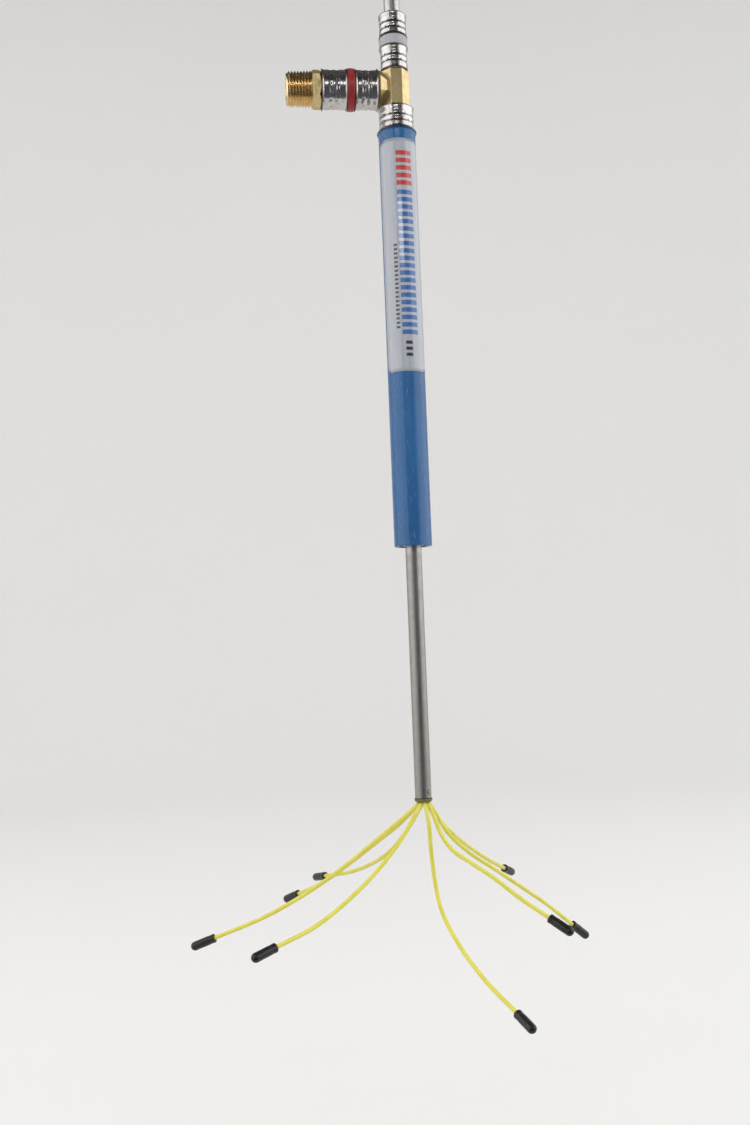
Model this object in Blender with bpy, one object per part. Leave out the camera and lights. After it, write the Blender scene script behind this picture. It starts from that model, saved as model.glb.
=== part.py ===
"""Drill-driven carboy washer with a side water inlet.

A stainless shaft, turned by a drill at its upper end, runs down through a
blue grip tube and flings eight yellow lines with rubber tips. Water enters at
the threaded side branch and runs down between the shaft and the tube.

Units are metres, +Z is up the shaft towards the drill, and the origin is on
the shaft's axis, half way up the grip tube, where a hand holds it. The inlet
branch points to -X.
"""

from math import atan2, cos, hypot, pi, radians, sin, tau

import bmesh
import bpy
from mathutils import Matrix, Vector

MM = 0.001

# Fits
FIT_GAP = 0.25 * MM
SEAT_GAP = 0.3 * MM
RUNNING_CLEARANCE = 0.09 * MM

# Drive shaft
SHAFT_DIAMETER = 9.525 * MM
SHAFT_WALL = 0.71 * MM
SHAFT_ABOVE_SLEEVE = 50.0 * MM
SHAFT_BELOW_TUBE = 146.0 * MM
SHANK_CORE_LENGTH = 30.0 * MM
SHANK_CHAMFER = 0.6 * MM

# Grip tube and its necked top end
TUBE_DIAMETER = 22.225 * MM
TUBE_WALL = 2.4 * MM
TUBE_LENGTH = 250.0 * MM
TUBE_END_CHAMFER = 0.5 * MM
NECK_DEPTH = 1.5 * MM
NECK_WALL = 1.9 * MM
RIM_FLARE = 0.85 * MM
RIM_HEIGHT = 4.5 * MM
RIM_LIP = 0.5 * MM

# Label panel on the tube
LABEL_BELOW_RIM = 7.3 * MM
LABEL_HEIGHT = 140.5 * MM
LABEL_THICKNESS = 0.2 * MM
LABEL_GAP = 0.15 * MM
LABEL_BEARING = radians(-3.0)
LABEL_HALF_ANGLE = radians(70.0)
LABEL_CORNER_RADIUS = 4.5 * MM

# Crimp sleeves
SLEEVE_LENGTH = 14.0 * MM
INNER_BRANCH_SLEEVE_LENGTH = 13.7 * MM
OUTER_BRANCH_SLEEVE_LENGTH = 15.0 * MM
SLEEVE_WALL = 0.65 * MM
NARROW_FLARE = 0.1 * MM
WIDE_FLARE = 0.6 * MM
BRANCH_FLARE = 0.85 * MM
CRIMP_DEPTH = 0.3 * MM
CRIMP_LIP = 1.6 * MM
CRIMP_BAND_SHARES = (0.07, 0.17)

# Tee body
TEE_WIDTH = 16.5 * MM
TEE_ABOVE_BRANCH = 11.25 * MM
TEE_TOP_WALL = 2.5 * MM
TEE_CHAMFER = 0.9 * MM
BRANCH_REACH = 10.7 * MM
BRANCH_COLLAR_WIDTH = 21.1 * MM
BRANCH_COLLAR_RIM = 0.9 * MM
BRANCH_THROAT_WIDTH = 10.0 * MM
BRANCH_THROAT_REACH = 2.0 * MM
BARB_WALL = 1.4 * MM
TOP_BARB_WALL = 0.8 * MM
BARB_RIDGE = 0.15 * MM
BARB_LENGTH = 12.6 * MM
BARB_RIDGE_PLACE = 0.45
TOP_WATER_GAP = 0.35 * MM

# Top nipple, with its collar between the two upper sleeves
NIPPLE_WALL = 1.15 * MM
NIPPLE_COLLAR_HEIGHT = 6.0 * MM
NIPPLE_COLLAR_PROUD = 1.3 * MM

# Top bearing and shaft seal
BEARING_FLANGE = 1.2 * MM
SEAL_HEIGHT = 4.6 * MM
SEAL_LIP_HEIGHT = 1.4 * MM
SEAL_SLOPE_HEIGHT = 0.8 * MM

# Branch nipple, with its collar between the two side sleeves
BRANCH_PIPE_DIAMETER = 20.9 * MM
BRANCH_PIPE_WALL = 2.2 * MM
BRANCH_COLLAR_LENGTH = 4.4 * MM
BRANCH_COLLAR_PROUD = 1.85 * MM

# Inlet adapter with a half-inch tapered pipe thread
HEX_ACROSS_FLATS = 20.64 * MM
HEX_LENGTH = 5.6 * MM
HEX_CHAMFER = 0.7 * MM
HEX_TURN = radians(53.0)
THREAD_PITCH = 1.814 * MM
THREAD_DEPTH = 1.15 * MM
THREAD_LENGTH = 15.3 * MM
THREAD_DIAMETER = 21.2 * MM
THREAD_TAPER = 1.0 / 16.0
THREAD_CHAMFER = 1.5 * MM

# Lower guide, a spider that lets the water past
GUIDE_LENGTH = 10.0 * MM
GUIDE_HUB_WALL = 1.5 * MM
GUIDE_RIB_WIDTH = 1.8 * MM
GUIDE_RIBS = 4
GUIDE_INSET = 0.5 * MM

# Thrust collars on the shaft
COLLAR_WALL = 1.1 * MM
COLLAR_HEIGHT = 2.5 * MM
COLLAR_GRIP_GAP = 0.1 * MM
COLLAR_WATER_GAP = 0.85 * MM

# Plug and pin that hold the lines in the shaft's lower end
PLUG_LENGTH = 14.0 * MM
PLUG_NOSE = 1.9 * MM
PLUG_NOSE_SLOPE = 0.5 * MM
PIN_DIAMETER = 2.4 * MM
PIN_ABOVE_END = 3.4 * MM
PIN_PROUD = 0.3 * MM
PIN_BEARING = radians(40.0)

# Whip lines and their tip caps
LINE_DIAMETER = 2.4 * MM
LINE_ROOT_GAP = 0.2 * MM
LINE_POINT_SPACING = 5.0 * MM
RING_TURN = radians(6.0)
CAP_DIAMETER = 5.1 * MM
CAP_LENGTH = 15.2 * MM
CAP_BORE_DEPTH = 11.5 * MM
CAP_MOUTH_CHAMFER = 0.35 * MM

# Each line leaves its place in the ring along a bearing, counted from -Y
# towards +X, and runs through points given as millimetres out and down.
# The last point is where the tip cap begins.
WHIP_LINES = (
    (22.0, ((2.6, 6.6), (4.6, 24.0), (7.2, 40.0), (13.5, 57.0), (30.0, 72.0), (54.0, 85.0), (84.7, 95.6))),
    (52.0, ((3.0, 6.2), (7.4, 16.8), (14.6, 25.4), (26.0, 31.6), (40.0, 39.0), (55.0, 48.5), (72.3, 57.8))),
    (114.0, ((3.8, 5.6), (11.5, 17.5), (25.5, 30.5), (44.0, 43.0), (63.0, 56.0), (81.0, 68.5),
             (100.5, 83.9))),
    (145.0, ((5.2, 4.6), (16.5, 12.6), (39.0, 26.0), (61.0, 37.0), (84.0, 47.5), (109.0, 57.4))),
    (206.0, ((4.6, 5.0), (19.0, 19.0), (38.0, 33.0), (63.0, 44.5), (90.0, 53.0), (119.2, 59.3))),
    (218.0, ((5.2, 4.4), (16.0, 12.6), (38.0, 26.5), (65.0, 43.0), (88.0, 56.0), (111.4, 65.6))),
    (259.0, ((5.0, 4.4), (19.5, 15.6), (38.0, 30.0), (62.0, 46.5), (92.0, 62.5), (121.5, 73.9))),
    (304.0, ((4.4, 5.0), (14.0, 15.8), (31.0, 30.0), (53.0, 43.5), (78.0, 54.5), (103.9, 60.4))),
)

# Roundness
OUTER_STEPS = 32
INNER_STEPS = 24
CAP_STEPS = 12
THREAD_STEPS = 16
LABEL_COLUMNS = 20
CURVE_SAMPLES = 12
ROOT_BALL_ANGLES = (1.25, 0.8)

# Sizes that follow from those above, outwards from the shaft
SHAFT_RADIUS = SHAFT_DIAMETER / 2
SHAFT_BORE_RADIUS = SHAFT_RADIUS - SHAFT_WALL
COLLAR_BORE_RADIUS = SHAFT_RADIUS + COLLAR_GRIP_GAP
COLLAR_RADIUS = COLLAR_BORE_RADIUS + COLLAR_WALL
CHAMBER_RADIUS = COLLAR_RADIUS + COLLAR_WATER_GAP
TOP_BORE_RADIUS = SHAFT_RADIUS + TOP_WATER_GAP
TOP_BARB_RADIUS = TOP_BORE_RADIUS + TOP_BARB_WALL
NIPPLE_BORE_RADIUS = TOP_BARB_RADIUS + FIT_GAP
NIPPLE_RADIUS = NIPPLE_BORE_RADIUS + NIPPLE_WALL
TUBE_RADIUS = TUBE_DIAMETER / 2
TUBE_BORE_RADIUS = TUBE_RADIUS - TUBE_WALL
NECK_RADIUS = TUBE_RADIUS - NECK_DEPTH
NECK_BORE_RADIUS = NECK_RADIUS - NECK_WALL
TUBE_BARB_RADIUS = NECK_BORE_RADIUS - FIT_GAP
TUBE_BARB_BORE_RADIUS = TUBE_BARB_RADIUS - BARB_WALL
BRANCH_PIPE_RADIUS = BRANCH_PIPE_DIAMETER / 2
BRANCH_PIPE_BORE = BRANCH_PIPE_RADIUS - BRANCH_PIPE_WALL
BRANCH_BARB_RADIUS = BRANCH_PIPE_BORE - FIT_GAP
INLET_BORE_RADIUS = BRANCH_BARB_RADIUS - BARB_WALL
BRANCH_SLEEVE_REACH = BRANCH_PIPE_RADIUS + FIT_GAP + SLEEVE_WALL + BRANCH_FLARE

# Heights, upwards from the grip tube's rim
RIM_Z = TUBE_LENGTH / 2
TUBE_SLEEVE_Z = RIM_Z + SEAT_GAP
TEE_BOTTOM_Z = TUBE_SLEEVE_Z + SLEEVE_LENGTH + SEAT_GAP
BRANCH_Z = TEE_BOTTOM_Z + BRANCH_SLEEVE_REACH
TEE_TOP_Z = BRANCH_Z + TEE_ABOVE_BRANCH
CHAMBER_TOP_Z = TEE_TOP_Z - TEE_TOP_WALL
LOWER_SLEEVE_Z = TEE_TOP_Z + SEAT_GAP
NIPPLE_COLLAR_Z = LOWER_SLEEVE_Z + SLEEVE_LENGTH + SEAT_GAP
UPPER_SLEEVE_Z = NIPPLE_COLLAR_Z + NIPPLE_COLLAR_HEIGHT + SEAT_GAP
UPPER_SLEEVE_TOP_Z = UPPER_SLEEVE_Z + SLEEVE_LENGTH
NIPPLE_TOP_Z = UPPER_SLEEVE_TOP_Z - BEARING_FLANGE - SEAT_GAP
SEAL_Z = TEE_TOP_Z + BARB_LENGTH + SEAT_GAP
BEARING_Z = SEAL_Z + SEAL_HEIGHT + SEAT_GAP
SHAFT_TOP_Z = UPPER_SLEEVE_TOP_Z + SHAFT_ABOVE_SLEEVE

# Heights, downwards from the grip tube's lower end
TUBE_END_Z = -TUBE_LENGTH / 2
GUIDE_Z = TUBE_END_Z + GUIDE_INSET
SHAFT_END_Z = TUBE_END_Z - SHAFT_BELOW_TUBE
NOSE_TOP_Z = SHAFT_END_Z - SEAT_GAP
NOSE_END_Z = NOSE_TOP_Z - PLUG_NOSE
LINE_RADIUS = LINE_DIAMETER / 2
LINE_ROOT_Z = NOSE_END_Z - SEAT_GAP - LINE_RADIUS
LINE_RING_RADIUS = (LINE_DIAMETER + LINE_ROOT_GAP) / (2 * sin(pi / len(WHIP_LINES)))

# Distances along the branch, outwards from the shaft's axis
INNER_SLEEVE_X = BRANCH_REACH + SEAT_GAP
BRANCH_COLLAR_X = INNER_SLEEVE_X + INNER_BRANCH_SLEEVE_LENGTH + SEAT_GAP
OUTER_SLEEVE_X = BRANCH_COLLAR_X + BRANCH_COLLAR_LENGTH + SEAT_GAP
HEX_X = OUTER_SLEEVE_X + OUTER_BRANCH_SLEEVE_LENGTH + SEAT_GAP
THREAD_X = HEX_X + HEX_LENGTH
INLET_END_X = THREAD_X + THREAD_LENGTH

BRASS = ("brass", (0.72, 0.53, 0.25), 0.28, 1.0)
STAINLESS = ("stainless_sleeve", (0.62, 0.61, 0.60), 0.2, 1.0)
SHAFT_STEEL = ("shaft_steel", (0.58, 0.57, 0.56), 0.25, 1.0)
BLUE_PLASTIC = ("blue_plastic", (0.03, 0.22, 0.48), 0.35, 0.0)
LABEL_FILM = ("label_film", (0.68, 0.70, 0.73), 0.3, 0.0)
WHITE_PLASTIC = ("white_plastic", (0.72, 0.73, 0.75), 0.4, 0.0)
RED_PLASTIC = ("red_plastic", (0.45, 0.03, 0.03), 0.4, 0.0)
BEARING_PLASTIC = ("bearing_plastic", (0.86, 0.85, 0.80), 0.45, 0.0)
BLACK_RUBBER = ("black_rubber", (0.02, 0.02, 0.02), 0.5, 0.0)
PLUG_RESIN = ("plug_resin", (0.20, 0.23, 0.08), 0.5, 0.0)
YELLOW_LINE = ("yellow_line", (0.87, 0.84, 0.06), 0.4, 0.0)


def clear_scene():
    """Remove every object that is in the file."""
    for thing in list(bpy.data.objects):
        bpy.data.objects.remove(thing, do_unlink=True)


def material(finish):
    """Return the Principled material for a finish, made on first use."""
    name, colour, roughness, metallic = finish
    found = bpy.data.materials.get(name)
    if found:
        return found
    made = bpy.data.materials.new(name)
    made.use_nodes = True
    shader = made.node_tree.nodes["Principled BSDF"]
    shader.inputs["Base Color"].default_value = (*colour, 1.0)
    shader.inputs["Roughness"].default_value = roughness
    shader.inputs["Metallic"].default_value = metallic
    made.diffuse_color = (*colour, 1.0)
    return made


def place(thing, parent, location=(0.0, 0.0, 0.0), rotation=(0.0, 0.0, 0.0)):
    """Link an object, parent it and give it its place under that parent."""
    bpy.context.scene.collection.objects.link(thing)
    thing.parent = parent
    thing.location = location
    thing.rotation_euler = rotation
    return thing


def empty(name, parent=None, location=(0.0, 0.0, 0.0)):
    """Add an empty that carries the pieces of one moving body."""
    return place(bpy.data.objects.new(name, None), parent, location)


def mesh_object(name, bm, finish, smooth=True):
    """Turn a bmesh into an object whose faces point outwards."""
    bmesh.ops.remove_doubles(bm, verts=bm.verts, dist=1e-7)
    bmesh.ops.recalc_face_normals(bm, faces=bm.faces)
    mesh = bpy.data.meshes.new(name)
    bm.to_mesh(mesh)
    bm.free()
    if smooth:
        mesh.shade_smooth()
        mesh.set_sharp_from_angle(angle=radians(30.0))
    mesh.materials.append(material(finish))
    return bpy.data.objects.new(name, mesh)


def turned_mesh(profile, steps, closed, phase=0.0):
    """Spin a profile of (radius, height) points about Z.

    A closed profile makes a ring. An open one starts and ends on the axis.
    """
    bm = bmesh.new()
    turn = Matrix.Rotation(phase, 3, "Z")
    verts = [bm.verts.new(turn @ Vector((r, 0.0, z))) for r, z in profile]
    edges = [bm.edges.new(pair) for pair in zip(verts, verts[1:])]
    if closed:
        edges.append(bm.edges.new((verts[-1], verts[0])))
    bmesh.ops.spin(bm, geom=verts + edges, cent=(0, 0, 0), axis=(0, 0, 1), angle=tau, steps=steps)
    bmesh.ops.remove_doubles(bm, verts=bm.verts, dist=1e-7)
    bmesh.ops.dissolve_degenerate(bm, edges=bm.edges, dist=1e-7)
    return bm


def ring(name, profile, finish, parent, location=(0.0, 0.0, 0.0), steps=OUTER_STEPS):
    """A turned piece with a hole through it."""
    bm = turned_mesh(profile, steps, closed=True)
    return place(mesh_object(name, bm, finish), parent, location)


def solid(name, profile, finish, parent, location=(0.0, 0.0, 0.0), rotation=(0.0, 0.0, 0.0),
          steps=OUTER_STEPS):
    """A turned piece without a hole."""
    bm = turned_mesh(profile, steps, closed=False)
    return place(mesh_object(name, bm, finish), parent, location, rotation)


def prism(name, profile, sides, phase, finish, parent):
    """A many-sided bar whose profile gives its corner radius along its length."""
    bm = turned_mesh(profile, sides, closed=False, phase=phase)
    return place(mesh_object(name, bm, finish, smooth=False), parent)


def tool(thing):
    """Hide an object that only shapes another one."""
    thing.hide_render = True
    thing.display_type = "WIRE"
    return thing


def shape_with(target, operation, other):
    """Cut or join another object with a Boolean modifier."""
    modifier = target.modifiers.new(other.name, "BOOLEAN")
    modifier.operation = operation
    modifier.solver = "EXACT"
    modifier.object = tool(other)


def rod_profile(radius, start, end):
    """Profile of a plain round bar from start to end."""
    return [(0.0, end), (radius, end), (radius, start), (0.0, start)]


def tube_profile(inner, outer, start, end):
    """Profile of a plain ring from start to end."""
    return [(inner, end), (outer, end), (outer, start), (inner, start)]


def barb_profile(radius, start, end):
    """Profile of a hose barb: a plain neck, then one ridge with a lead-in."""
    waist = radius - 2 * BARB_RIDGE
    ridge_foot = start + (end - start) * BARB_RIDGE_PLACE
    return [
        (0.0, end),
        (waist, end),
        (radius, ridge_foot),
        (waist, ridge_foot),
        (waist, start),
        (0.0, start),
    ]


def sleeve_profile(inner, length, low_flare, high_flare):
    """Profile of a crimped sleeve: flared ends and two crimp bands."""
    outer = inner + SLEEVE_WALL
    crimped = outer - CRIMP_DEPTH
    middle = length / 2
    band_near, band_far = (length * share for share in CRIMP_BAND_SHARES)
    return [
        (inner, length),
        (outer + high_flare, length),
        (outer, length - CRIMP_LIP),
        (crimped, middle + band_far),
        (crimped, middle + band_near),
        (outer, middle),
        (crimped, middle - band_near),
        (crimped, middle - band_far),
        (outer, CRIMP_LIP),
        (outer + low_flare, 0.0),
        (inner, 0.0),
    ]


def collared_profile(inner, outer, start, end, collar_start, collar_end, proud):
    """Profile of a short pipe with a rounded collar part way along."""
    soft = min(proud * 0.4, (collar_end - collar_start) * 0.2)
    full = outer + proud
    return [
        (inner, end),
        (outer, end),
        (outer, collar_end),
        (full - soft, collar_end),
        (full, collar_end - soft),
        (full, collar_start + soft),
        (full - soft, collar_start),
        (outer, collar_start),
        (outer, start),
        (inner, start),
    ]


def make_tee_body(housing, branch):
    """Brass tee: octagonal run, flared side collar and three hose barbs."""
    corner = TEE_WIDTH / 2 / cos(pi / 8)
    run = [
        (0.0, TEE_TOP_Z),
        (corner - TEE_CHAMFER, TEE_TOP_Z),
        (corner, TEE_TOP_Z - TEE_CHAMFER),
        (corner, TEE_BOTTOM_Z + TEE_CHAMFER),
        (corner - TEE_CHAMFER, TEE_BOTTOM_Z),
        (0.0, TEE_BOTTOM_Z),
    ]
    tee = prism("tee_body", run, 8, pi / 8, BRASS, housing)
    collar = BRANCH_COLLAR_WIDTH / 2 / cos(pi / 8)
    throat = BRANCH_THROAT_WIDTH / 2 / cos(pi / 8)
    flare = [
        (0.0, BRANCH_REACH),
        (collar, BRANCH_REACH),
        (collar, BRANCH_REACH - BRANCH_COLLAR_RIM),
        (throat, BRANCH_THROAT_REACH),
        (0.0, BRANCH_THROAT_REACH),
    ]
    overlap = SEAT_GAP
    top_barb = barb_profile(TOP_BARB_RADIUS, TEE_TOP_Z - overlap, TEE_TOP_Z + BARB_LENGTH)
    tube_barb = barb_profile(TUBE_BARB_RADIUS, overlap, -BARB_LENGTH)
    tube_barb = [(r, TEE_BOTTOM_Z + z) for r, z in tube_barb]
    side_barb = barb_profile(BRANCH_BARB_RADIUS, BRANCH_REACH - overlap, BRANCH_REACH + BARB_LENGTH)
    past = TEE_TOP_Z - TEE_BOTTOM_Z
    bore_top, bore_bottom = SEAL_Z + past, TEE_BOTTOM_Z - BARB_LENGTH - past
    run_bore = [
        (0.0, bore_top),
        (TOP_BORE_RADIUS, bore_top),
        (TOP_BORE_RADIUS, CHAMBER_TOP_Z),
        (CHAMBER_RADIUS, CHAMBER_TOP_Z),
        (CHAMBER_RADIUS, TEE_BOTTOM_Z + TEE_CHAMFER),
        (TUBE_BARB_BORE_RADIUS, TEE_BOTTOM_Z + TEE_CHAMFER),
        (TUBE_BARB_BORE_RADIUS, bore_bottom),
        (0.0, bore_bottom),
    ]
    side_bore = rod_profile(INLET_BORE_RADIUS, 0.0, BRANCH_REACH + BARB_LENGTH + past)
    shape_with(tee, "UNION", prism("tee_flare", flare, 8, pi / 8, BRASS, branch))
    shape_with(tee, "UNION", solid("tee_top_barb", top_barb, BRASS, housing, steps=INNER_STEPS))
    shape_with(tee, "UNION", solid("tee_tube_barb", tube_barb, BRASS, housing, steps=INNER_STEPS))
    shape_with(tee, "UNION", solid("tee_side_barb", side_barb, BRASS, branch, steps=INNER_STEPS))
    shape_with(tee, "DIFFERENCE", solid("tee_run_bore", run_bore, BRASS, housing, steps=INNER_STEPS))
    shape_with(tee, "DIFFERENCE", solid("tee_side_bore", side_bore, BRASS, branch, steps=INNER_STEPS))


def make_grip_tube(housing):
    """Blue tube with a flared rim, below the neck that the sleeve grips."""
    rim_radius = TUBE_RADIUS + RIM_FLARE
    neck_top = TUBE_SLEEVE_Z + SLEEVE_LENGTH
    profile = [
        (NECK_BORE_RADIUS, neck_top),
        (NECK_RADIUS, neck_top),
        (NECK_RADIUS, RIM_Z),
        (rim_radius - RIM_LIP, RIM_Z),
        (rim_radius, RIM_Z - RIM_LIP),
        (rim_radius, RIM_Z - 2 * RIM_LIP),
        (TUBE_RADIUS + RIM_FLARE / 2, RIM_Z - 4 * RIM_LIP),
        (TUBE_RADIUS, RIM_Z - RIM_HEIGHT),
        (TUBE_RADIUS, TUBE_END_Z + TUBE_END_CHAMFER),
        (TUBE_RADIUS - TUBE_END_CHAMFER, TUBE_END_Z),
        (TUBE_BORE_RADIUS, TUBE_END_Z),
        (TUBE_BORE_RADIUS, RIM_Z - RIM_HEIGHT),
        (NECK_BORE_RADIUS, RIM_Z),
    ]
    ring("grip_tube", profile, BLUE_PLASTIC, housing)


def make_grip_label(housing):
    """Thin printed-film panel with round corners, wrapped part way round."""
    inner = TUBE_RADIUS + LABEL_GAP
    outer = inner + LABEL_THICKNESS
    top = RIM_Z - LABEL_BELOW_RIM
    bottom = top - LABEL_HEIGHT
    corner_angle = LABEL_CORNER_RADIUS / outer
    bm = bmesh.new()
    columns = []
    for column in range(LABEL_COLUMNS + 1):
        share = 2 * column / LABEL_COLUMNS - 1
        angle = LABEL_HALF_ANGLE * sin(share * pi / 2)
        into_corner = max(0.0, abs(angle) - (LABEL_HALF_ANGLE - corner_angle)) / corner_angle
        inset = LABEL_CORNER_RADIUS * (1 - (max(0.0, 1 - into_corner**2)) ** 0.5)
        bearing = LABEL_BEARING + angle
        face = Vector((sin(bearing), -cos(bearing), 0.0))
        low, high = bottom + inset, top - inset
        corners = [(outer, low), (outer, high), (inner, high), (inner, low)]
        columns.append([bm.verts.new(face * r + Vector((0, 0, z))) for r, z in corners])
    for left, right in zip(columns, columns[1:]):
        for side in range(4):
            following = (side + 1) % 4
            bm.faces.new((left[side], right[side], right[following], left[following]))
    bm.faces.new(columns[0])
    bm.faces.new(reversed(columns[-1]))
    place(mesh_object("grip_label", bm, LABEL_FILM), housing)


def make_sleeves(housing, branch):
    """Stainless crimp sleeves over the tube's neck and both nipples."""
    tube_inner = NECK_RADIUS + FIT_GAP
    nipple_inner = NIPPLE_RADIUS + FIT_GAP
    branch_inner = BRANCH_PIPE_RADIUS + FIT_GAP
    on_run = (
        ("tube_sleeve", tube_inner, TUBE_SLEEVE_Z, WIDE_FLARE, NARROW_FLARE),
        ("top_lower_sleeve", nipple_inner, LOWER_SLEEVE_Z, NARROW_FLARE, WIDE_FLARE),
        ("top_upper_sleeve", nipple_inner, UPPER_SLEEVE_Z, WIDE_FLARE, NARROW_FLARE),
    )
    for name, inner, height, low_flare, high_flare in on_run:
        profile = sleeve_profile(inner, SLEEVE_LENGTH, low_flare, high_flare)
        ring(name, profile, STAINLESS, housing, (0, 0, height))
    on_branch = (
        ("branch_inner_sleeve", INNER_SLEEVE_X, INNER_BRANCH_SLEEVE_LENGTH),
        ("branch_outer_sleeve", OUTER_SLEEVE_X, OUTER_BRANCH_SLEEVE_LENGTH),
    )
    for name, reach, length in on_branch:
        profile = sleeve_profile(branch_inner, length, BRANCH_FLARE, BRANCH_FLARE)
        ring(name, profile, STAINLESS, branch, (0, 0, reach))


def make_nipples(housing, branch):
    """Short plastic pipes whose collars show between the sleeves."""
    top = collared_profile(
        NIPPLE_BORE_RADIUS,
        NIPPLE_RADIUS,
        TEE_TOP_Z + SEAT_GAP,
        NIPPLE_TOP_Z,
        NIPPLE_COLLAR_Z,
        NIPPLE_COLLAR_Z + NIPPLE_COLLAR_HEIGHT,
        NIPPLE_COLLAR_PROUD,
    )
    ring("top_nipple", top, WHITE_PLASTIC, housing)
    side = collared_profile(
        BRANCH_PIPE_BORE,
        BRANCH_PIPE_RADIUS,
        BRANCH_REACH + SEAT_GAP,
        HEX_X - SEAT_GAP,
        BRANCH_COLLAR_X,
        BRANCH_COLLAR_X + BRANCH_COLLAR_LENGTH,
        BRANCH_COLLAR_PROUD,
    )
    ring("branch_nipple", side, RED_PLASTIC, branch)


def make_bearing_and_seal(housing):
    """Flanged bush in the top nipple and the lip seal under it."""
    running = SHAFT_RADIUS + RUNNING_CLEARANCE
    fitted = NIPPLE_BORE_RADIUS - FIT_GAP
    flange = NIPPLE_RADIUS
    flange_z = NIPPLE_TOP_Z + SEAT_GAP
    bush = [
        (running, UPPER_SLEEVE_TOP_Z),
        (flange, UPPER_SLEEVE_TOP_Z),
        (flange, flange_z),
        (fitted, flange_z),
        (fitted, BEARING_Z),
        (running, BEARING_Z),
    ]
    ring("top_bearing", bush, BEARING_PLASTIC, housing, steps=INNER_STEPS)
    seal_top = SEAL_Z + SEAL_HEIGHT
    relieved = (running + fitted) / 2
    seal = [
        (running, seal_top),
        (fitted, seal_top),
        (fitted, SEAL_Z),
        (relieved, SEAL_Z),
        (relieved, seal_top - SEAL_LIP_HEIGHT - SEAL_SLOPE_HEIGHT),
        (running, seal_top - SEAL_LIP_HEIGHT),
    ]
    ring("shaft_seal", seal, BLACK_RUBBER, housing, steps=INNER_STEPS)


def thread_mesh(start, end):
    """A tapered helical thread, wound past both ends so that it can be trimmed.

    Rows of points follow the helix, root and crest in turn, half a pitch
    apart, and the last point of each turn is the first of the next.
    """
    bm = bmesh.new()
    turns = int((end - start) / THREAD_PITCH) + 3
    first = start - 1.5 * THREAD_PITCH
    rows = []
    for half in range(2 * turns + 1):
        row = []
        for step in range(THREAD_STEPS):
            height = first + THREAD_PITCH * (half / 2 + step / THREAD_STEPS)
            crest = THREAD_DIAMETER / 2 - (height - start) * THREAD_TAPER / 2
            radius = crest if half % 2 else crest - THREAD_DEPTH
            angle = tau * step / THREAD_STEPS
            row.append(bm.verts.new((radius * cos(angle), radius * sin(angle), height)))
        rows.append(row)
    for half in range(len(rows) - 1):
        for step in range(THREAD_STEPS - 1):
            near, far = rows[half], rows[half + 1]
            bm.faces.new((near[step], near[step + 1], far[step + 1], far[step]))
    for half in range(len(rows) - 3):
        near, far = rows[half][-1], rows[half + 1][-1]
        bm.faces.new((near, rows[half + 2][0], rows[half + 3][0], far))
    low = bm.verts.new((0.0, 0.0, first - THREAD_PITCH))
    high = bm.verts.new((0.0, 0.0, rows[-1][-1].co.z + THREAD_PITCH))
    low_rim = [*rows[0], rows[2][0], rows[1][0]]
    high_rim = [*rows[-1], rows[-2][-1], rows[-3][-1]]
    for rim, hub in ((low_rim, low), (high_rim, high)):
        for one, other in zip(rim, [*rim[1:], rim[0]]):
            bm.faces.new((one, other, hub))
    return bm


def make_inlet_adapter(branch):
    """Brass hex with a tapered pipe thread, a hose barb and a clear bore."""
    corner = HEX_ACROSS_FLATS / 2 / cos(pi / 6)
    hexagon = [
        (0.0, THREAD_X),
        (corner - HEX_CHAMFER, THREAD_X),
        (corner, THREAD_X - HEX_CHAMFER),
        (corner, HEX_X + HEX_CHAMFER),
        (corner - HEX_CHAMFER, HEX_X),
        (0.0, HEX_X),
    ]
    adapter = prism("inlet_adapter", hexagon, 6, HEX_TURN, BRASS, branch)
    bury = SEAT_GAP
    crest = THREAD_DIAMETER / 2
    end_crest = crest - THREAD_LENGTH * THREAD_TAPER / 2
    envelope = [
        (0.0, INLET_END_X),
        (end_crest - THREAD_CHAMFER, INLET_END_X),
        (end_crest, INLET_END_X - THREAD_CHAMFER),
        (crest, THREAD_X + THREAD_PITCH / 2),
        (crest - THREAD_DEPTH, THREAD_X),
        (crest - THREAD_DEPTH, THREAD_X - bury),
        (0.0, THREAD_X - bury),
    ]
    thread = place(mesh_object("adapter_thread", thread_mesh(THREAD_X, INLET_END_X), BRASS), branch)
    shape_with(thread, "INTERSECT", solid("thread_envelope", envelope, BRASS, branch))
    barb = barb_profile(BRANCH_BARB_RADIUS, HEX_X + bury, HEX_X - BARB_LENGTH)
    bore = rod_profile(INLET_BORE_RADIUS, HEX_X - 2 * BARB_LENGTH, INLET_END_X + BARB_LENGTH)
    shape_with(adapter, "UNION", thread)
    shape_with(adapter, "UNION", solid("adapter_barb", barb, BRASS, branch, steps=INNER_STEPS))
    shape_with(adapter, "DIFFERENCE", solid("adapter_bore", bore, BRASS, branch, steps=INNER_STEPS))


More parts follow.
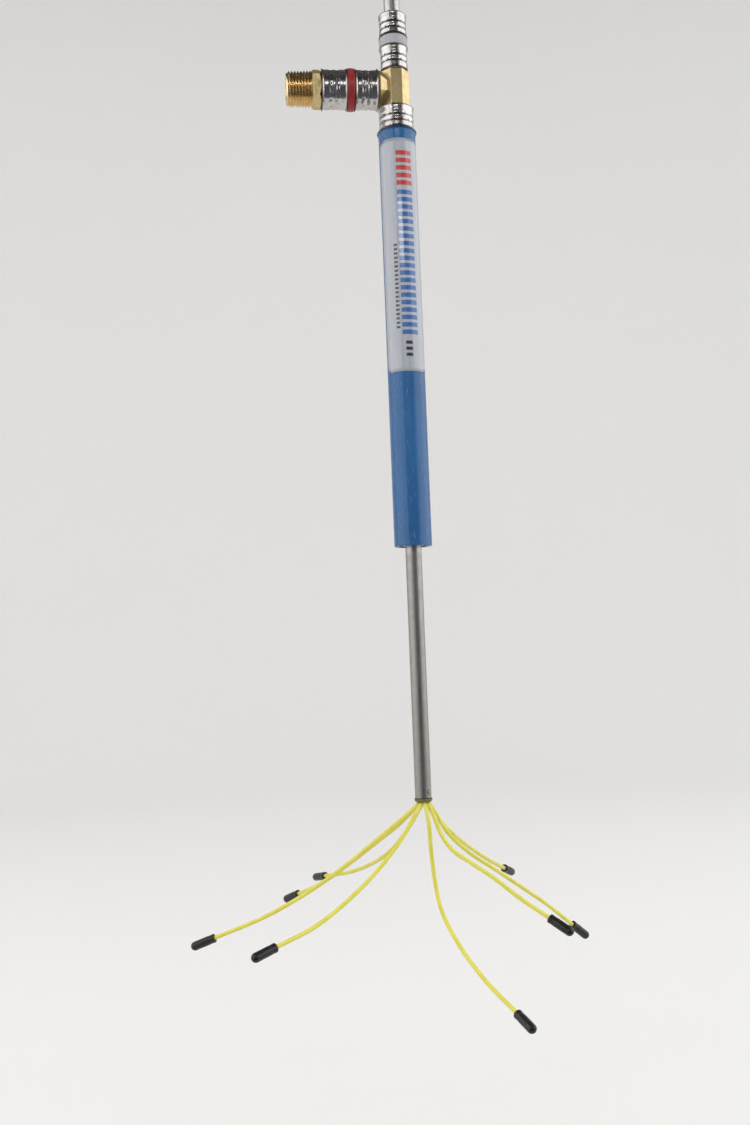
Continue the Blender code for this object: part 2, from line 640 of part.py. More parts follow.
def make_lower_guide(housing):
    """Spider bush in the tube's lower end: a hub on ribs, with water ways."""
    running = SHAFT_RADIUS + RUNNING_CLEARANCE
    hub_radius = running + GUIDE_HUB_WALL
    reach = TUBE_BORE_RADIUS - FIT_GAP
    top = GUIDE_Z + GUIDE_LENGTH
    hub = rod_profile(hub_radius, GUIDE_Z, top)
    guide = solid("lower_guide", hub, BEARING_PLASTIC, housing, steps=INNER_STEPS)
    for rib in range(GUIDE_RIBS // 2):
        bm = bmesh.new()
        bmesh.ops.create_cube(bm, size=1.0)
        size = Matrix.Diagonal((2 * reach, GUIDE_RIB_WIDTH, GUIDE_LENGTH - 2 * GUIDE_INSET, 1.0))
        bmesh.ops.transform(bm, matrix=size, verts=bm.verts)
        bar = mesh_object(f"guide_rib_{rib + 1}", bm, BEARING_PLASTIC, smooth=False)
        turn = tau * rib / GUIDE_RIBS
        place(bar, housing, (0, 0, (GUIDE_Z + top) / 2), (0, 0, turn))
        shape_with(guide, "UNION", bar)
    bore = rod_profile(running, GUIDE_Z - GUIDE_LENGTH, top + GUIDE_LENGTH)
    shape_with(guide, "DIFFERENCE", solid("guide_bore", bore, BEARING_PLASTIC, housing, steps=INNER_STEPS))


def make_drive_shaft(rotor):
    """Stainless tube with a solid core for the drill's chuck and a pin hole."""
    bevel = min(SHANK_CHAMFER, SHAFT_WALL * 0.8)
    above_pin = SHAFT_END_Z + 2 * PIN_ABOVE_END
    profile = [
        (SHAFT_BORE_RADIUS, SHAFT_TOP_Z),
        (SHAFT_RADIUS - bevel, SHAFT_TOP_Z),
        (SHAFT_RADIUS, SHAFT_TOP_Z - bevel),
        (SHAFT_RADIUS, above_pin),
        (SHAFT_RADIUS, SHAFT_END_Z),
        (SHAFT_BORE_RADIUS, SHAFT_END_Z),
        (SHAFT_BORE_RADIUS, above_pin),
    ]
    shaft = ring("drive_shaft", profile, SHAFT_STEEL, rotor, steps=INNER_STEPS)
    shape_with(shaft, "DIFFERENCE", pin_tool("shaft_pin_hole", rotor))
    core = rod_profile(SHAFT_BORE_RADIUS - FIT_GAP, SHAFT_TOP_Z - SHANK_CORE_LENGTH, SHAFT_TOP_Z)
    solid("shank_core", core, SHAFT_STEEL, rotor, steps=INNER_STEPS)


def make_thrust_collars(rotor):
    """Collars that keep the shaft from sliding up or down in the housing."""
    upper_top = CHAMBER_TOP_Z - SEAT_GAP
    lower_z = GUIDE_Z + GUIDE_LENGTH + SEAT_GAP
    upper = tube_profile(COLLAR_BORE_RADIUS, COLLAR_RADIUS, upper_top - COLLAR_HEIGHT, upper_top)
    lower = tube_profile(COLLAR_BORE_RADIUS, COLLAR_RADIUS, lower_z, lower_z + COLLAR_HEIGHT)
    ring("upper_thrust_collar", upper, SHAFT_STEEL, rotor, steps=INNER_STEPS)
    ring("lower_thrust_collar", lower, SHAFT_STEEL, rotor, steps=INNER_STEPS)


def pin_place():
    """Centre and turn of the cross pin: flat, along its bearing."""
    return (0, 0, SHAFT_END_Z + PIN_ABOVE_END), (pi / 2, 0, PIN_BEARING)


def pin_tool(name, rotor):
    """A rod along the pin, with clearance, that cuts a hole for it."""
    reach = SHAFT_DIAMETER
    profile = rod_profile(PIN_DIAMETER / 2 + FIT_GAP, -reach, reach)
    location, rotation = pin_place()
    return solid(name, profile, SHAFT_STEEL, rotor, location, rotation, steps=CAP_STEPS)


def make_plug_and_pin(rotor):
    """Resin plug that holds the lines, and the rivet through it."""
    nose_radius = LINE_RING_RADIUS + LINE_RADIUS + LINE_ROOT_GAP / 2
    body_radius = SHAFT_BORE_RADIUS - FIT_GAP
    profile = [
        (0.0, SHAFT_END_Z + PLUG_LENGTH),
        (body_radius, SHAFT_END_Z + PLUG_LENGTH),
        (body_radius, NOSE_TOP_Z),
        (nose_radius + PLUG_NOSE_SLOPE, NOSE_TOP_Z),
        (nose_radius + PLUG_NOSE_SLOPE, NOSE_TOP_Z - PLUG_NOSE / 2),
        (nose_radius, NOSE_END_Z),
        (0.0, NOSE_END_Z),
    ]
    plug = solid("line_plug", profile, PLUG_RESIN, rotor, steps=INNER_STEPS)
    shape_with(plug, "DIFFERENCE", pin_tool("plug_pin_hole", rotor))
    half = SHAFT_RADIUS + PIN_PROUD
    radius = PIN_DIAMETER / 2
    dome = PIN_PROUD
    rivet = [
        (0.0, half),
        (radius - dome, half),
        (radius, half - dome),
        (radius, dome - half),
        (radius - dome, -half),
        (0.0, -half),
    ]
    location, rotation = pin_place()
    solid("plug_pin", rivet, SHAFT_STEEL, rotor, location, rotation, steps=CAP_STEPS)


def smooth_route(route):
    """Read close points from a smooth curve through a route's own points.

    Each point's direction is the mean of its two spans' directions, with the
    nearer neighbour counting for more, so uneven spans join without a kink.
    """
    spans = [other - one for one, other in zip(route, route[1:])]
    ways = [spans[0].normalized()]
    for before, after in zip(spans, spans[1:]):
        mean = before.normalized() * after.length + after.normalized() * before.length
        ways.append(mean.normalized())
    ways.append(spans[-1].normalized())
    dense = []
    for start, span, leaving, arriving in zip(route, spans, ways, ways[1:]):
        reach = span.length
        for sample in range(CURVE_SAMPLES):
            t = sample / CURVE_SAMPLES
            along = span * (3 * t**2 - 2 * t**3)
            turn = leaving * (t**3 - 2 * t**2 + t) + arriving * (t**3 - t**2)
            dense.append(start + along + turn * reach)
    return [*dense, route[-1]]


def even_points(dense, spacing):
    """Points at even steps along a close polyline, both ends kept."""
    lengths = [0.0]
    for one, other in zip(dense, dense[1:]):
        lengths.append(lengths[-1] + (other - one).length)
    count = max(2, round(lengths[-1] / spacing))
    points = []
    place_in = 0
    for step in range(count + 1):
        target = lengths[-1] * step / count
        while place_in < len(dense) - 2 and lengths[place_in + 1] < target:
            place_in += 1
        span = lengths[place_in + 1] - lengths[place_in]
        share = min(1.0, (target - lengths[place_in]) / span)
        points.append(dense[place_in].lerp(dense[place_in + 1], share))
    return points, lengths[-1]


def line_object(name, points, parent):
    """A line as a round curve whose root end is a small ball."""
    root_way = (points[1] - points[0]).normalized()
    tip_way = (points[-1] - points[-2]).normalized()
    ball = [(points[0] - root_way * LINE_RADIUS * sin(a), cos(a)) for a in ROOT_BALL_ANGLES]
    knots = [*ball, *((point, 1.0) for point in points)]
    knots.append((points[-1] + tip_way * (CAP_BORE_DEPTH - SEAT_GAP), 1.0))
    curve = bpy.data.curves.new(name, "CURVE")
    curve.dimensions = "3D"
    curve.bevel_depth = LINE_RADIUS
    curve.bevel_resolution = 2
    curve.use_fill_caps = True
    spline = curve.splines.new("POLY")
    spline.points.add(len(knots) - 1)
    for knot, (point, share) in zip(spline.points, knots):
        knot.co = (*point, 1.0)
        knot.radius = share
    spline.use_smooth = True
    curve.materials.append(material(YELLOW_LINE))
    return place(bpy.data.objects.new(name, curve), parent)


def cap_profile():
    """Profile of a round-ended cap with a blind bore, mouth at zero."""
    radius = CAP_DIAMETER / 2
    bore = LINE_RADIUS + FIT_GAP
    shoulder = CAP_LENGTH - radius
    dome = [(radius * sin(a), shoulder + radius * cos(a)) for a in (pi / 6, pi / 3, pi / 2)]
    return [
        (0.0, CAP_LENGTH),
        *dome,
        (radius, CAP_MOUTH_CHAMFER),
        (radius - CAP_MOUTH_CHAMFER, 0.0),
        (bore, 0.0),
        (bore, CAP_BORE_DEPTH),
        (0.0, CAP_BORE_DEPTH),
    ]


def make_whip(number, bearing_degrees, stations, rotor):
    """One line with its tip cap, on an empty at the line's own root."""
    share = tau / len(WHIP_LINES)
    ring_bearing = RING_TURN + share * (number - 1)
    root_spot = Vector((sin(ring_bearing), -cos(ring_bearing), 0.0)) * LINE_RING_RADIUS
    root_spot.z = LINE_ROOT_Z
    root = empty(f"whip_{number}_root", rotor, root_spot)
    bearing = radians(bearing_degrees)
    outward = Vector((sin(bearing), -cos(bearing), 0.0))
    route = [Vector((0.0, 0.0, 0.0))]
    route += [outward * (out * MM) - Vector((0.0, 0.0, down * MM)) for out, down in stations]
    points, length = even_points(smooth_route(route), LINE_POINT_SPACING)
    line_object(f"whip_line_{number}", points, root)
    way = (points[-1] - points[-2]).normalized()
    tilt = atan2(hypot(way.x, way.y), way.z)
    turn = atan2(way.y, way.x)
    cap_turn = (0, tilt, turn)
    solid(f"tip_cap_{number}", cap_profile(), BLACK_RUBBER, root, points[-1], cap_turn, steps=CAP_STEPS)
    full = length + CAP_BORE_DEPTH - SEAT_GAP
    print(f"whip line {number}: {full / MM:.1f} mm long, root {tuple(round(v / MM, 3) for v in root_spot)}")


def main():
    """Build every piece under the empties of its body."""
    clear_scene()
    housing = empty("housing")
    branch = empty("branch", housing, (0, 0, BRANCH_Z))
    branch.rotation_euler = (0, -pi / 2, 0)
    rotor = empty("rotor")
    make_tee_body(housing, branch)
    make_grip_tube(housing)
    make_grip_label(housing)
    make_sleeves(housing, branch)
    make_nipples(housing, branch)
    make_bearing_and_seal(housing)
    make_inlet_adapter(branch)
    make_lower_guide(housing)
    make_drive_shaft(rotor)
    make_thrust_collars(rotor)
    make_plug_and_pin(rotor)
    for number, (bearing, stations) in enumerate(WHIP_LINES, 1):
        make_whip(number, bearing, stations, rotor)


main()
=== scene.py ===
"""Visual model of a drill-driven carboy washer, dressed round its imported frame.

Every piece is in metres in the frame's own axes: the shaft runs along Z with
the drill's end up, the water inlet points to -X, and the origin is half way
up the blue tube, where a hand holds the washer.
"""

import logging
from dataclasses import dataclass
from enum import Enum
from math import atan2, ceil, cos, hypot, pi, radians, sin, tau
from typing import Any, Callable, Sequence

import bmesh
import bpy
from mathutils import Matrix, Vector


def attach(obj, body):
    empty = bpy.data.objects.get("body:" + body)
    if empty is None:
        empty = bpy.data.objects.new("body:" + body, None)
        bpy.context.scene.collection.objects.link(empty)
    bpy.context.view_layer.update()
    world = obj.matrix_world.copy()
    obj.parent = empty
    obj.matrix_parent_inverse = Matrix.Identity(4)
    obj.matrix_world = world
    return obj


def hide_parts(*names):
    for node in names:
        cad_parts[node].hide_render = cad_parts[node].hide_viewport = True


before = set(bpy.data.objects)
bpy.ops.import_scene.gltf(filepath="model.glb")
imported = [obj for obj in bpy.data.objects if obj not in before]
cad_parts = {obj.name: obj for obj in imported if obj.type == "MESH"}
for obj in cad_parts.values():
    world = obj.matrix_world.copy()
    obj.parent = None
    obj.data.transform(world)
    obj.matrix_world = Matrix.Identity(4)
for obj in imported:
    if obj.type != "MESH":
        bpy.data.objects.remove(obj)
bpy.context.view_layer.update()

MM = 0.001
BRANCH_Z = 151.8 * MM
RIDGE_HEIGHT = 0.3 * MM
RIDGE_PLACES = (0.25, 0.5, 0.75)
RIDGE_REACH = 0.2
BARB_LENGTH = 12.6 * MM
OVERLAP = 0.3 * MM
CLEAR = 20.0 * MM
CRIMP_ROWS = (0.37, 0.63)
SHAFT_RUNNING = 4.8525 * MM
FIT = 0.25 * MM

Colour = tuple[float, float, float]
Corner = tuple[float, float, float]
Socket = bpy.types.NodeSocket

log = logging.getLogger("washer")


class Axis(Enum):
    """The two straight lines that the turned pieces are made on."""

    RUN = "run"
    BRANCH = "branch"

    def matrix(self) -> Matrix:
        """Return the matrix from a piece's own axis to the frame."""
        if self is Axis.RUN:
            return Matrix.Identity(4)
        return Matrix(((0, 0, -1, 0), (0, 1, 0, 0), (1, 0, 0, BRANCH_Z), (0, 0, 0, 1)))


class Grain(Enum):
    """Which way the fine lines of a worked surface run."""

    ROUND_RUN = (0.02, 0.02, 1.0)
    ROUND_BRANCH = (1.0, 0.02, 0.02)
    ALONG_RUN = (1.0, 1.0, 0.012)
    ALONG_BRANCH = (0.012, 1.0, 1.0)
    EVEN = (1.0, 1.0, 1.0)


# Node trees


class Board:
    """Adds nodes to one tree and joins them."""

    def __init__(self, tree: bpy.types.NodeTree) -> None:
        """Keep the tree.

        Args:
            tree: The shader or geometry tree that the nodes go into.
        """
        self.tree = tree

    def add(self, kind: str, inputs: dict[int | str, Any] | None = None, **settings: Any) -> bpy.types.Node:
        """Add one node.

        Args:
            kind: The node's type.
            inputs: Values or sockets for its inputs, by index or name.
            **settings: Properties of the node, set before its inputs.

        Returns:
            The new node.
        """
        node = self.tree.nodes.new(kind)
        for name, value in settings.items():
            setattr(node, name, value)
        for key, value in (inputs or {}).items():
            if isinstance(value, Socket):
                self.tree.links.new(value, node.inputs[key])
            else:
                node.inputs[key].default_value = value
        return node

    def math(self, operation: str, *values: Any) -> Socket:
        """Return the result of one Math node.

        Args:
            operation: The Math node's operation.
            *values: Its operands, numbers or sockets.

        Returns:
            The node's output.
        """
        return self.add("ShaderNodeMath", dict(enumerate(values)), operation=operation).outputs[0]


class Paint(Board):
    """Builds one material round its Principled shader."""

    def __init__(self, name: str) -> None:
        """Start a material.

        Args:
            name: The material's name.
        """
        self.material = bpy.data.materials.new(name)
        self.material.use_nodes = True
        super().__init__(self.material.node_tree)
        self.shader = self.tree.nodes["Principled BSDF"]
        self.place = self.add("ShaderNodeTexCoord").outputs["Object"]

    def surface(self) -> Socket:
        """Return the piece's own UV map as a vector."""
        return self.add("ShaderNodeUVMap", uv_map="surface").outputs[0]

    def noise(self, scale: float, grain: Sequence[float] = (1, 1, 1), detail: float = 3.0) -> Socket:
        """Return a noise value from 0 to 1.

        Args:
            scale: How many cells there are to a metre.
            grain: How the pattern is stretched along each axis.
            detail: The number of finer layers.

        Returns:
            The noise as a socket.
        """
        mapped = self.add("ShaderNodeMapping", {"Vector": self.place, "Scale": Vector(grain)})
        kinds = {"Vector": mapped.outputs[0], "Scale": scale, "Detail": detail, "Roughness": 0.55}
        return self.add("ShaderNodeTexNoise", kinds).outputs["Fac"]

    def spread(self, value: Socket, low: float, high: float, start: float = 0.0, end: float = 1.0) -> Socket:
        """Stretch a range of a value over another range, held at both ends.

        Args:
            value: The value that is read.
            low: The value that gives start.
            high: The value that gives end.
            start: The result at low.
            end: The result at high.

        Returns:
            The stretched value.
        """
        row = {"Value": value, "From Min": low, "From Max": high, "To Min": start, "To Max": end}
        return self.add("ShaderNodeMapRange", row, clamp=True).outputs[0]

    def mix(self, share: Socket, one: Colour | Socket, other: Colour | Socket) -> Socket:
        """Blend two colours.

        Args:
            share: How much of the second colour there is.
            one: The first colour.
            other: The second colour.

        Returns:
            The blended colour.
        """
        node = self.add("ShaderNodeMix", data_type="RGBA")
        for key, value in ((0, share), (6, one), (7, other)):
            if isinstance(value, Socket):
                self.tree.links.new(value, node.inputs[key])
            else:
                node.inputs[key].default_value = (*value, 1.0)
        return node.outputs[2]

    def bump(self, height: Socket, depth: float, under: Socket | None = None) -> Socket:
        """Raise the surface by a height pattern.

        Args:
            height: The pattern, from 0 to 1.
            depth: How deep it is, in metres.
            under: A normal that this one is laid over.

        Returns:
            The bumped normal.
        """
        row: dict[int | str, Any] = {"Strength": 1.0, "Distance": depth, "Height": height}
        if under is not None:
            row["Normal"] = under
        return self.add("ShaderNodeBump", row).outputs[0]

    def edges(self, radius: float) -> Socket:
        """Return how close the surface is to one of its edges.

        Args:
            radius: How far from an edge the wear reaches, in metres.

        Returns:
            A value that is 0 on a flat and rises at an edge.
        """
        soft = self.add("ShaderNodeBevel", {"Radius": radius}, samples=6).outputs[0]
        true = self.add("ShaderNodeNewGeometry").outputs["Normal"]
        agreed = self.add("ShaderNodeVectorMath", {0: soft, 1: true}, operation="DOT_PRODUCT")
        return self.spread(agreed.outputs["Value"], 0.995, 0.86)

    def finish(self, colour: Socket, roughness: Socket, normal: Socket) -> None:
        """Join the patterns to the shader.

        Args:
            colour: The base colour.
            roughness: The roughness.
            normal: The bumped normal.
        """
        for name, socket in (("Base Color", colour), ("Roughness", roughness), ("Normal", normal)):
            self.tree.links.new(socket, self.shader.inputs[name])


# Finishes


@dataclass(frozen=True)
class Finish:
    """One finish of the washer's pieces.

    Attributes:
        name: The material's name.
        colour: The main colour, linear.
        roughness: The mean roughness.
        metallic: 1 for a metal, 0 for a plastic or rubber.
        slot: The record's material slot that the finish belongs to.
    """

    name: str
    colour: Colour
    roughness: float
    # slot: The record's material slot that the finish belongs to; not used.
    metallic: float
    slot: str

    def shade(self, factor: float, tint: Colour = (1.0, 1.0, 1.0)) -> Colour:
        """Return the main colour, darker or lighter and tinted."""
        return tuple(min(1.0, part * factor * hue) for part, hue in zip(self.colour, tint))

    def material(self) -> bpy.types.Material:
        """Return the finish's material, built on first use."""
        found = bpy.data.materials.get(self.name)
        if found is None:
            paint = Paint(self.name)
            paint.shader.inputs["Metallic"].default_value = self.metallic
            self.dress(paint)
            found = paint.material
        return found

    def dress(self, paint: Paint) -> None:
        """Paint the finish's own patterns.

        Args:
            paint: The material that is being built.
        """
        raise NotImplementedError


@dataclass(frozen=True)
class WorkedMetal(Finish):
    """Turned, drawn or forged metal with tool lines, tarnish and bright edges.

    Attributes:
        grain: The way that the tool lines run.
        tarnish: The colour that the metal dulls to, as factors.
        lines: The depth of the tool lines, in metres.
        pits: The depth of the fine pits, in metres.
        shaded_below: The height below which it is painted darker and duller as painted shade, if it is.
    """

    grain: Grain = Grain.EVEN
    tarnish: Colour = (0.62, 0.52, 0.34)
    lines: float = 2.0e-6
    pits: float = 6.0e-6
    shaded_below: float | None = None

    def dress(self, paint: Paint) -> None:
        """Paint tool lines, tarnish blotches, pits, bright edges and, if asked, painted shade low down."""
        blotch = paint.spread(paint.noise(240.0, detail=5.0), 0.42, 0.68)
        specks = paint.spread(paint.noise(2600.0, detail=2.0), 0.60, 0.74)
        tool = paint.noise(5200.0, self.grain.value, detail=2.0)
        dull = paint.math("MULTIPLY", blotch, 0.55)
        colour = paint.mix(dull, self.colour, self.shade(1.0, self.tarnish))
        colour = paint.mix(paint.math("MULTIPLY", specks, 0.5), colour, self.shade(0.35, self.tarnish))
        colour = paint.mix(paint.math("MULTIPLY", paint.edges(0.35 * MM), 0.6), colour, self.shade(1.25))
        rough = paint.math("ADD", paint.spread(tool, 0.3, 0.7, -0.05, 0.07), self.roughness)
        rough = paint.math("ADD", rough, paint.math("MULTIPLY", blotch, 0.10))
        # Painted shade: below the given height the colour is painted darker and duller, for the water film
        # and glass round the lower shaft, which are left out.
        if self.shaded_below is not None:
            height = paint.add("ShaderNodeSeparateXYZ", {0: paint.place}).outputs[2]
            below = paint.spread(height, self.shaded_below + 6.0 * MM, self.shaded_below - 6.0 * MM)
            shaded = self.shade(0.50, (1.0, 0.97, 0.92))
            colour = paint.mix(paint.math("MULTIPLY", below, 0.8), colour, shaded)
            rough = paint.math("ADD", rough, paint.math("MULTIPLY", below, 0.10))
        normal = paint.bump(tool, self.lines)
        normal = paint.bump(paint.noise(1500.0, detail=4.0), self.pits, normal)
        paint.finish(colour, rough, normal)


@dataclass(frozen=True)
class CrimpedSteel(Finish):
    """Bright rolled steel, dented where the crimp tool bit, with painted shade in the dents and along the
    lips.
    """

    def dress(self, paint: Paint) -> None:
        """Paint rolling lines, soft dents, painted shade in the crimp marks and along the lips, and scuffs.
        """
        # The crimp attribute holds painted shade: the dents' strength and a dark line along each lip.
        mark = paint.add("ShaderNodeAttribute", attribute_name="crimp").outputs["Fac"]
        tool = paint.noise(3800.0, Grain.EVEN.value, detail=3.0)
        cloud = paint.noise(190.0, detail=1.5)
        scuff = paint.spread(paint.noise(900.0, (1.0, 0.3, 1.0), detail=5.0), 0.60, 0.72)
        colour = paint.mix(paint.spread(cloud, 0.35, 0.7), self.colour, self.shade(0.86, (1.0, 0.97, 0.95)))
        # Painted shade in the dents and at the lips, together with the scuffs, darkens the colour.
        shade_and_scuffs = paint.spread(paint.math("ADD", mark, paint.math("MULTIPLY", scuff, 0.25)), 0.45, 1.0)
        colour = paint.mix(paint.math("MULTIPLY", shade_and_scuffs, 0.82), colour, self.shade(0.18, (1.0, 0.86, 0.80)))
        rough = paint.spread(cloud, 0.3, 0.75, self.roughness, self.roughness + 0.08)
        rough = paint.math("ADD", rough, paint.math("MULTIPLY", scuff, 0.10))
        normal = paint.bump(cloud, 0.05 * MM)
        normal = paint.bump(tool, 1.5e-6, normal)
        paint.finish(colour, rough, normal)


@dataclass(frozen=True)
class Plastic(Finish):
    """Extruded or moulded plastic with flow lines, mottling and fine scuffs.

    Attributes:
        grain: The way that the flow lines run.
        lines: The depth of the flow lines, in metres.
        cloudy: How far the mottling changes the colour.
        rim: The height of a dark line painted round the rim as painted shade, if there is one.
    """

    grain: Grain = Grain.EVEN
    lines: float = 6.0e-6
    cloudy: float = 0.16
    rim: float | None = None

    def dress(self, paint: Paint) -> None:
        """Paint flow lines, mottling, scuffs, a worn edge and a painted shade line at a rim."""
        flow = paint.noise(2100.0, self.grain.value, detail=3.0)
        cloud = paint.spread(paint.noise(70.0, (1.0, 1.0, 0.45), detail=4.0), 0.3, 0.7)
        scuff = paint.spread(paint.noise(620.0, (1.0, 1.0, 0.25), detail=6.0), 0.62, 0.74)
        colour = paint.mix(cloud, self.shade(1.0 - self.cloudy), self.shade(1.0 + self.cloudy))
        colour = paint.mix(paint.spread(flow, 0.3, 0.7, 0.0, 0.22), colour, self.shade(0.72))
        colour = paint.mix(paint.math("MULTIPLY", scuff, 0.22), colour, (0.62, 0.62, 0.60))
        colour = paint.mix(paint.math("MULTIPLY", paint.edges(0.3 * MM), 0.12), colour, (0.75, 0.75, 0.75))
        # Painted shade: a dark line round the rim's height, under the tube's lip.
        if self.rim is not None:
            height = paint.add("ShaderNodeSeparateXYZ", {0: paint.place}).outputs[2]
            off = paint.math("ABSOLUTE", paint.math("SUBTRACT", height, self.rim))
            colour = paint.mix(paint.spread(off, 0.9 * MM, 0.35 * MM, 0.0, 0.85), colour, self.shade(0.16))
        rough = paint.math("ADD", paint.math("MULTIPLY", scuff, 0.22), self.roughness)
        rough = paint.math("ADD", paint.spread(cloud, 0.0, 1.0, -0.03, 0.05), rough)
        normal = paint.bump(flow, self.lines)
        normal = paint.bump(paint.noise(330.0, detail=2.0), 0.02 * MM, normal)
        paint.finish(colour, rough, normal)


@dataclass(frozen=True)
class Rubber(Finish):
    """Dull moulded rubber, dusty in places and scuffed on its ends."""

    def dress(self, paint: Paint) -> None:
        """Paint dust, scuffs, a faint parting line and a pebbled skin."""
        across = paint.add("ShaderNodeSeparateXYZ", {0: paint.surface()})
        dust = paint.spread(paint.noise(420.0, detail=6.0), 0.50, 0.75)
        scuff = paint.spread(paint.noise(1900.0, detail=3.0), 0.58, 0.70)
        seam = paint.math("ABSOLUTE", paint.math("SUBTRACT", across.outputs[0], 0.5))
        seam = paint.spread(seam, 0.012, 0.0)
        colour = paint.mix(paint.math("MULTIPLY", dust, 0.30), self.colour, (0.050, 0.047, 0.045))
        colour = paint.mix(paint.math("MULTIPLY", scuff, 0.20), colour, (0.10, 0.098, 0.09))
        rough = paint.math("ADD", paint.math("MULTIPLY", dust, 0.22), self.roughness)
        normal = paint.bump(paint.noise(2400.0, detail=2.0), 0.02 * MM)
        normal = paint.bump(seam, 0.06 * MM, normal)
        paint.finish(colour, rough, normal)


@dataclass(frozen=True)
class FlungLine(Finish):
    """Bright yellow trimmer line: waxy, faintly ribbed and a little soiled."""

    def dress(self, paint: Paint) -> None:
        """Paint drawn ribs, paler waxy patches and a few grey smears."""
        patch = paint.spread(paint.noise(130.0, detail=3.0), 0.35, 0.7)
        soil = paint.spread(paint.noise(900.0, detail=5.0), 0.64, 0.78)
        rib = paint.noise(2600.0, detail=2.0)
        colour = paint.mix(patch, self.colour, self.shade(1.08, (1.0, 1.03, 1.9)))
        colour = paint.mix(paint.math("MULTIPLY", soil, 0.20), colour, (0.40, 0.38, 0.10))
        rough = paint.math("ADD", paint.spread(rib, 0.3, 0.7, -0.04, 0.06), self.roughness)
        paint.finish(colour, rough, paint.bump(rib, 0.02 * MM))


@dataclass(frozen=True)
class PrintedFilm(Finish):
    """Silvery label film with plain red, blue and dark dashes printed on it.

    Attributes:
        red: The colour of the upper dashes.
        blue: The colour of the lower dashes.
        dark: The colour of the fine dashes.
        border: The colour of the film's rim line.
    """

    red: Colour = (0.56, 0.045, 0.03)
    blue: Colour = (0.035, 0.14, 0.42)
    dark: Colour = (0.035, 0.03, 0.05)
    border: Colour = (0.22, 0.27, 0.38)

    def within(self, paint: Paint, value: Socket, low: float, high: float, soft: float = 0.08) -> Socket:
        """Return 1 where a value lies between two others, with soft ends."""
        rise = paint.spread(value, low - soft, low + soft)
        fall = paint.spread(value, high + soft, high - soft)
        return paint.math("MULTIPLY", rise, fall)

    def dashes(self, paint: Paint, x: Socket, y: Socket, sides: tuple[float, float],
               ends: tuple[float, float], pitch: float, filled: float) -> Socket:
        """Return a column of dashes, in millimetres on the label.

        Args:
            paint: The material that is being built.
            x: Millimetres to the right of the label's middle.
            y: Millimetres down from the label's top.
            sides: The column's left and right.
            ends: The column's top and bottom.
            pitch: The distance from dash to dash.
            filled: How much of the pitch a dash fills.

        Returns:
            1 on a dash and 0 beside it.
        """
        counted = paint.math("DIVIDE", paint.math("SUBTRACT", y, ends[0]), pitch)
        share = paint.math("FRACT", counted)
        rung = self.within(paint, share, 0.03, 0.03 + filled, 0.03)
        column = self.within(paint, x, *sides)
        return paint.math("MULTIPLY", paint.math("MULTIPLY", rung, column), self.within(paint, y, *ends))

    def dress(self, paint: Paint) -> None:
        """Paint the brushed film, its rim line and its columns of dashes."""
        spot = paint.add("ShaderNodeSeparateXYZ", {0: paint.surface()})
        x, y = spot.outputs[0], spot.outputs[1]
        brushed = paint.noise(1400.0, Grain.ALONG_RUN.value, detail=3.0)
        cloud = paint.noise(90.0, (1.0, 1.0, 0.3), detail=3.0)
        rim = self.within(paint, spot.outputs[2], 0.35, 0.95, 0.1)
        colour = paint.mix(paint.spread(brushed, 0.3, 0.7), self.shade(0.93), self.shade(1.06))
        clouded = self.shade(0.94, (1.0, 0.98, 1.03))
        colour = paint.mix(paint.spread(cloud, 0.3, 0.7, 0.0, 0.5), colour, clouded)
        colour = paint.mix(paint.math("MULTIPLY", rim, 0.55), colour, self.border)
        printed = (
            (self.red, self.dashes(paint, x, y, (-2.2, 7.4), (7.6, 30.4), 4.56, 0.62)),
            (self.blue, self.dashes(paint, x, y, (-2.2, 7.4), (31.6, 120.2), 4.43, 0.62)),
            (self.dark, self.dashes(paint, x, y, (-5.6, -3.4), (64.0, 116.0), 2.6, 0.55)),
            (self.dark, self.dashes(paint, x, y, (-0.4, 3.6), (122.4, 133.2), 3.6, 0.55)),
        )
        wear = paint.spread(paint.noise(1100.0, detail=5.0), 0.60, 0.75, 1.0, 0.72)
        for ink, where in printed:
            colour = paint.mix(paint.math("MULTIPLY", where, wear), colour, ink)
        rough = paint.math("ADD", paint.spread(brushed, 0.3, 0.7, -0.05, 0.08), self.roughness)
        normal = paint.bump(cloud, 0.05 * MM)
        paint.shader.inputs["Coat Weight"].default_value = 0.8
        paint.shader.inputs["Coat Roughness"].default_value = 0.06
        paint.finish(colour, rough, paint.bump(brushed, 1.5e-6, normal))


@dataclass(frozen=True)
class Paper(Finish):
    """The plain pale floor and backdrop.

    Attributes:
        glow: How much paler it looks than the lamps alone would make it.
    """

    glow: float = 0.0

    def dress(self, paint: Paint) -> None:
        """Paint faint fibres and broad, weak unevenness."""
        broad = paint.spread(paint.noise(1.6, detail=3.0), 0.3, 0.7)
        fibre = paint.noise(900.0, detail=3.0)
        colour = paint.mix(broad, self.shade(0.975), self.colour)
        rough = paint.spread(fibre, 0.3, 0.7, self.roughness - 0.05, self.roughness + 0.05)
        paint.finish(colour, rough, paint.bump(fibre, 0.01 * MM))
        if self.glow == 0.0:
            return
        path = paint.add("ShaderNodeLightPath").outputs
        seen = paint.math("ADD", path["Is Camera Ray"], path["Is Glossy Ray"])
        seen = paint.math("MINIMUM", paint.math("ADD", seen, path["Is Transmission Ray"]), 1.0)
        paint.shader.inputs["Emission Color"].default_value = (1.0, 0.993, 0.985, 1.0)
        glowing = paint.math("MULTIPLY", seen, self.glow)
        paint.tree.links.new(glowing, paint.shader.inputs["Emission Strength"])


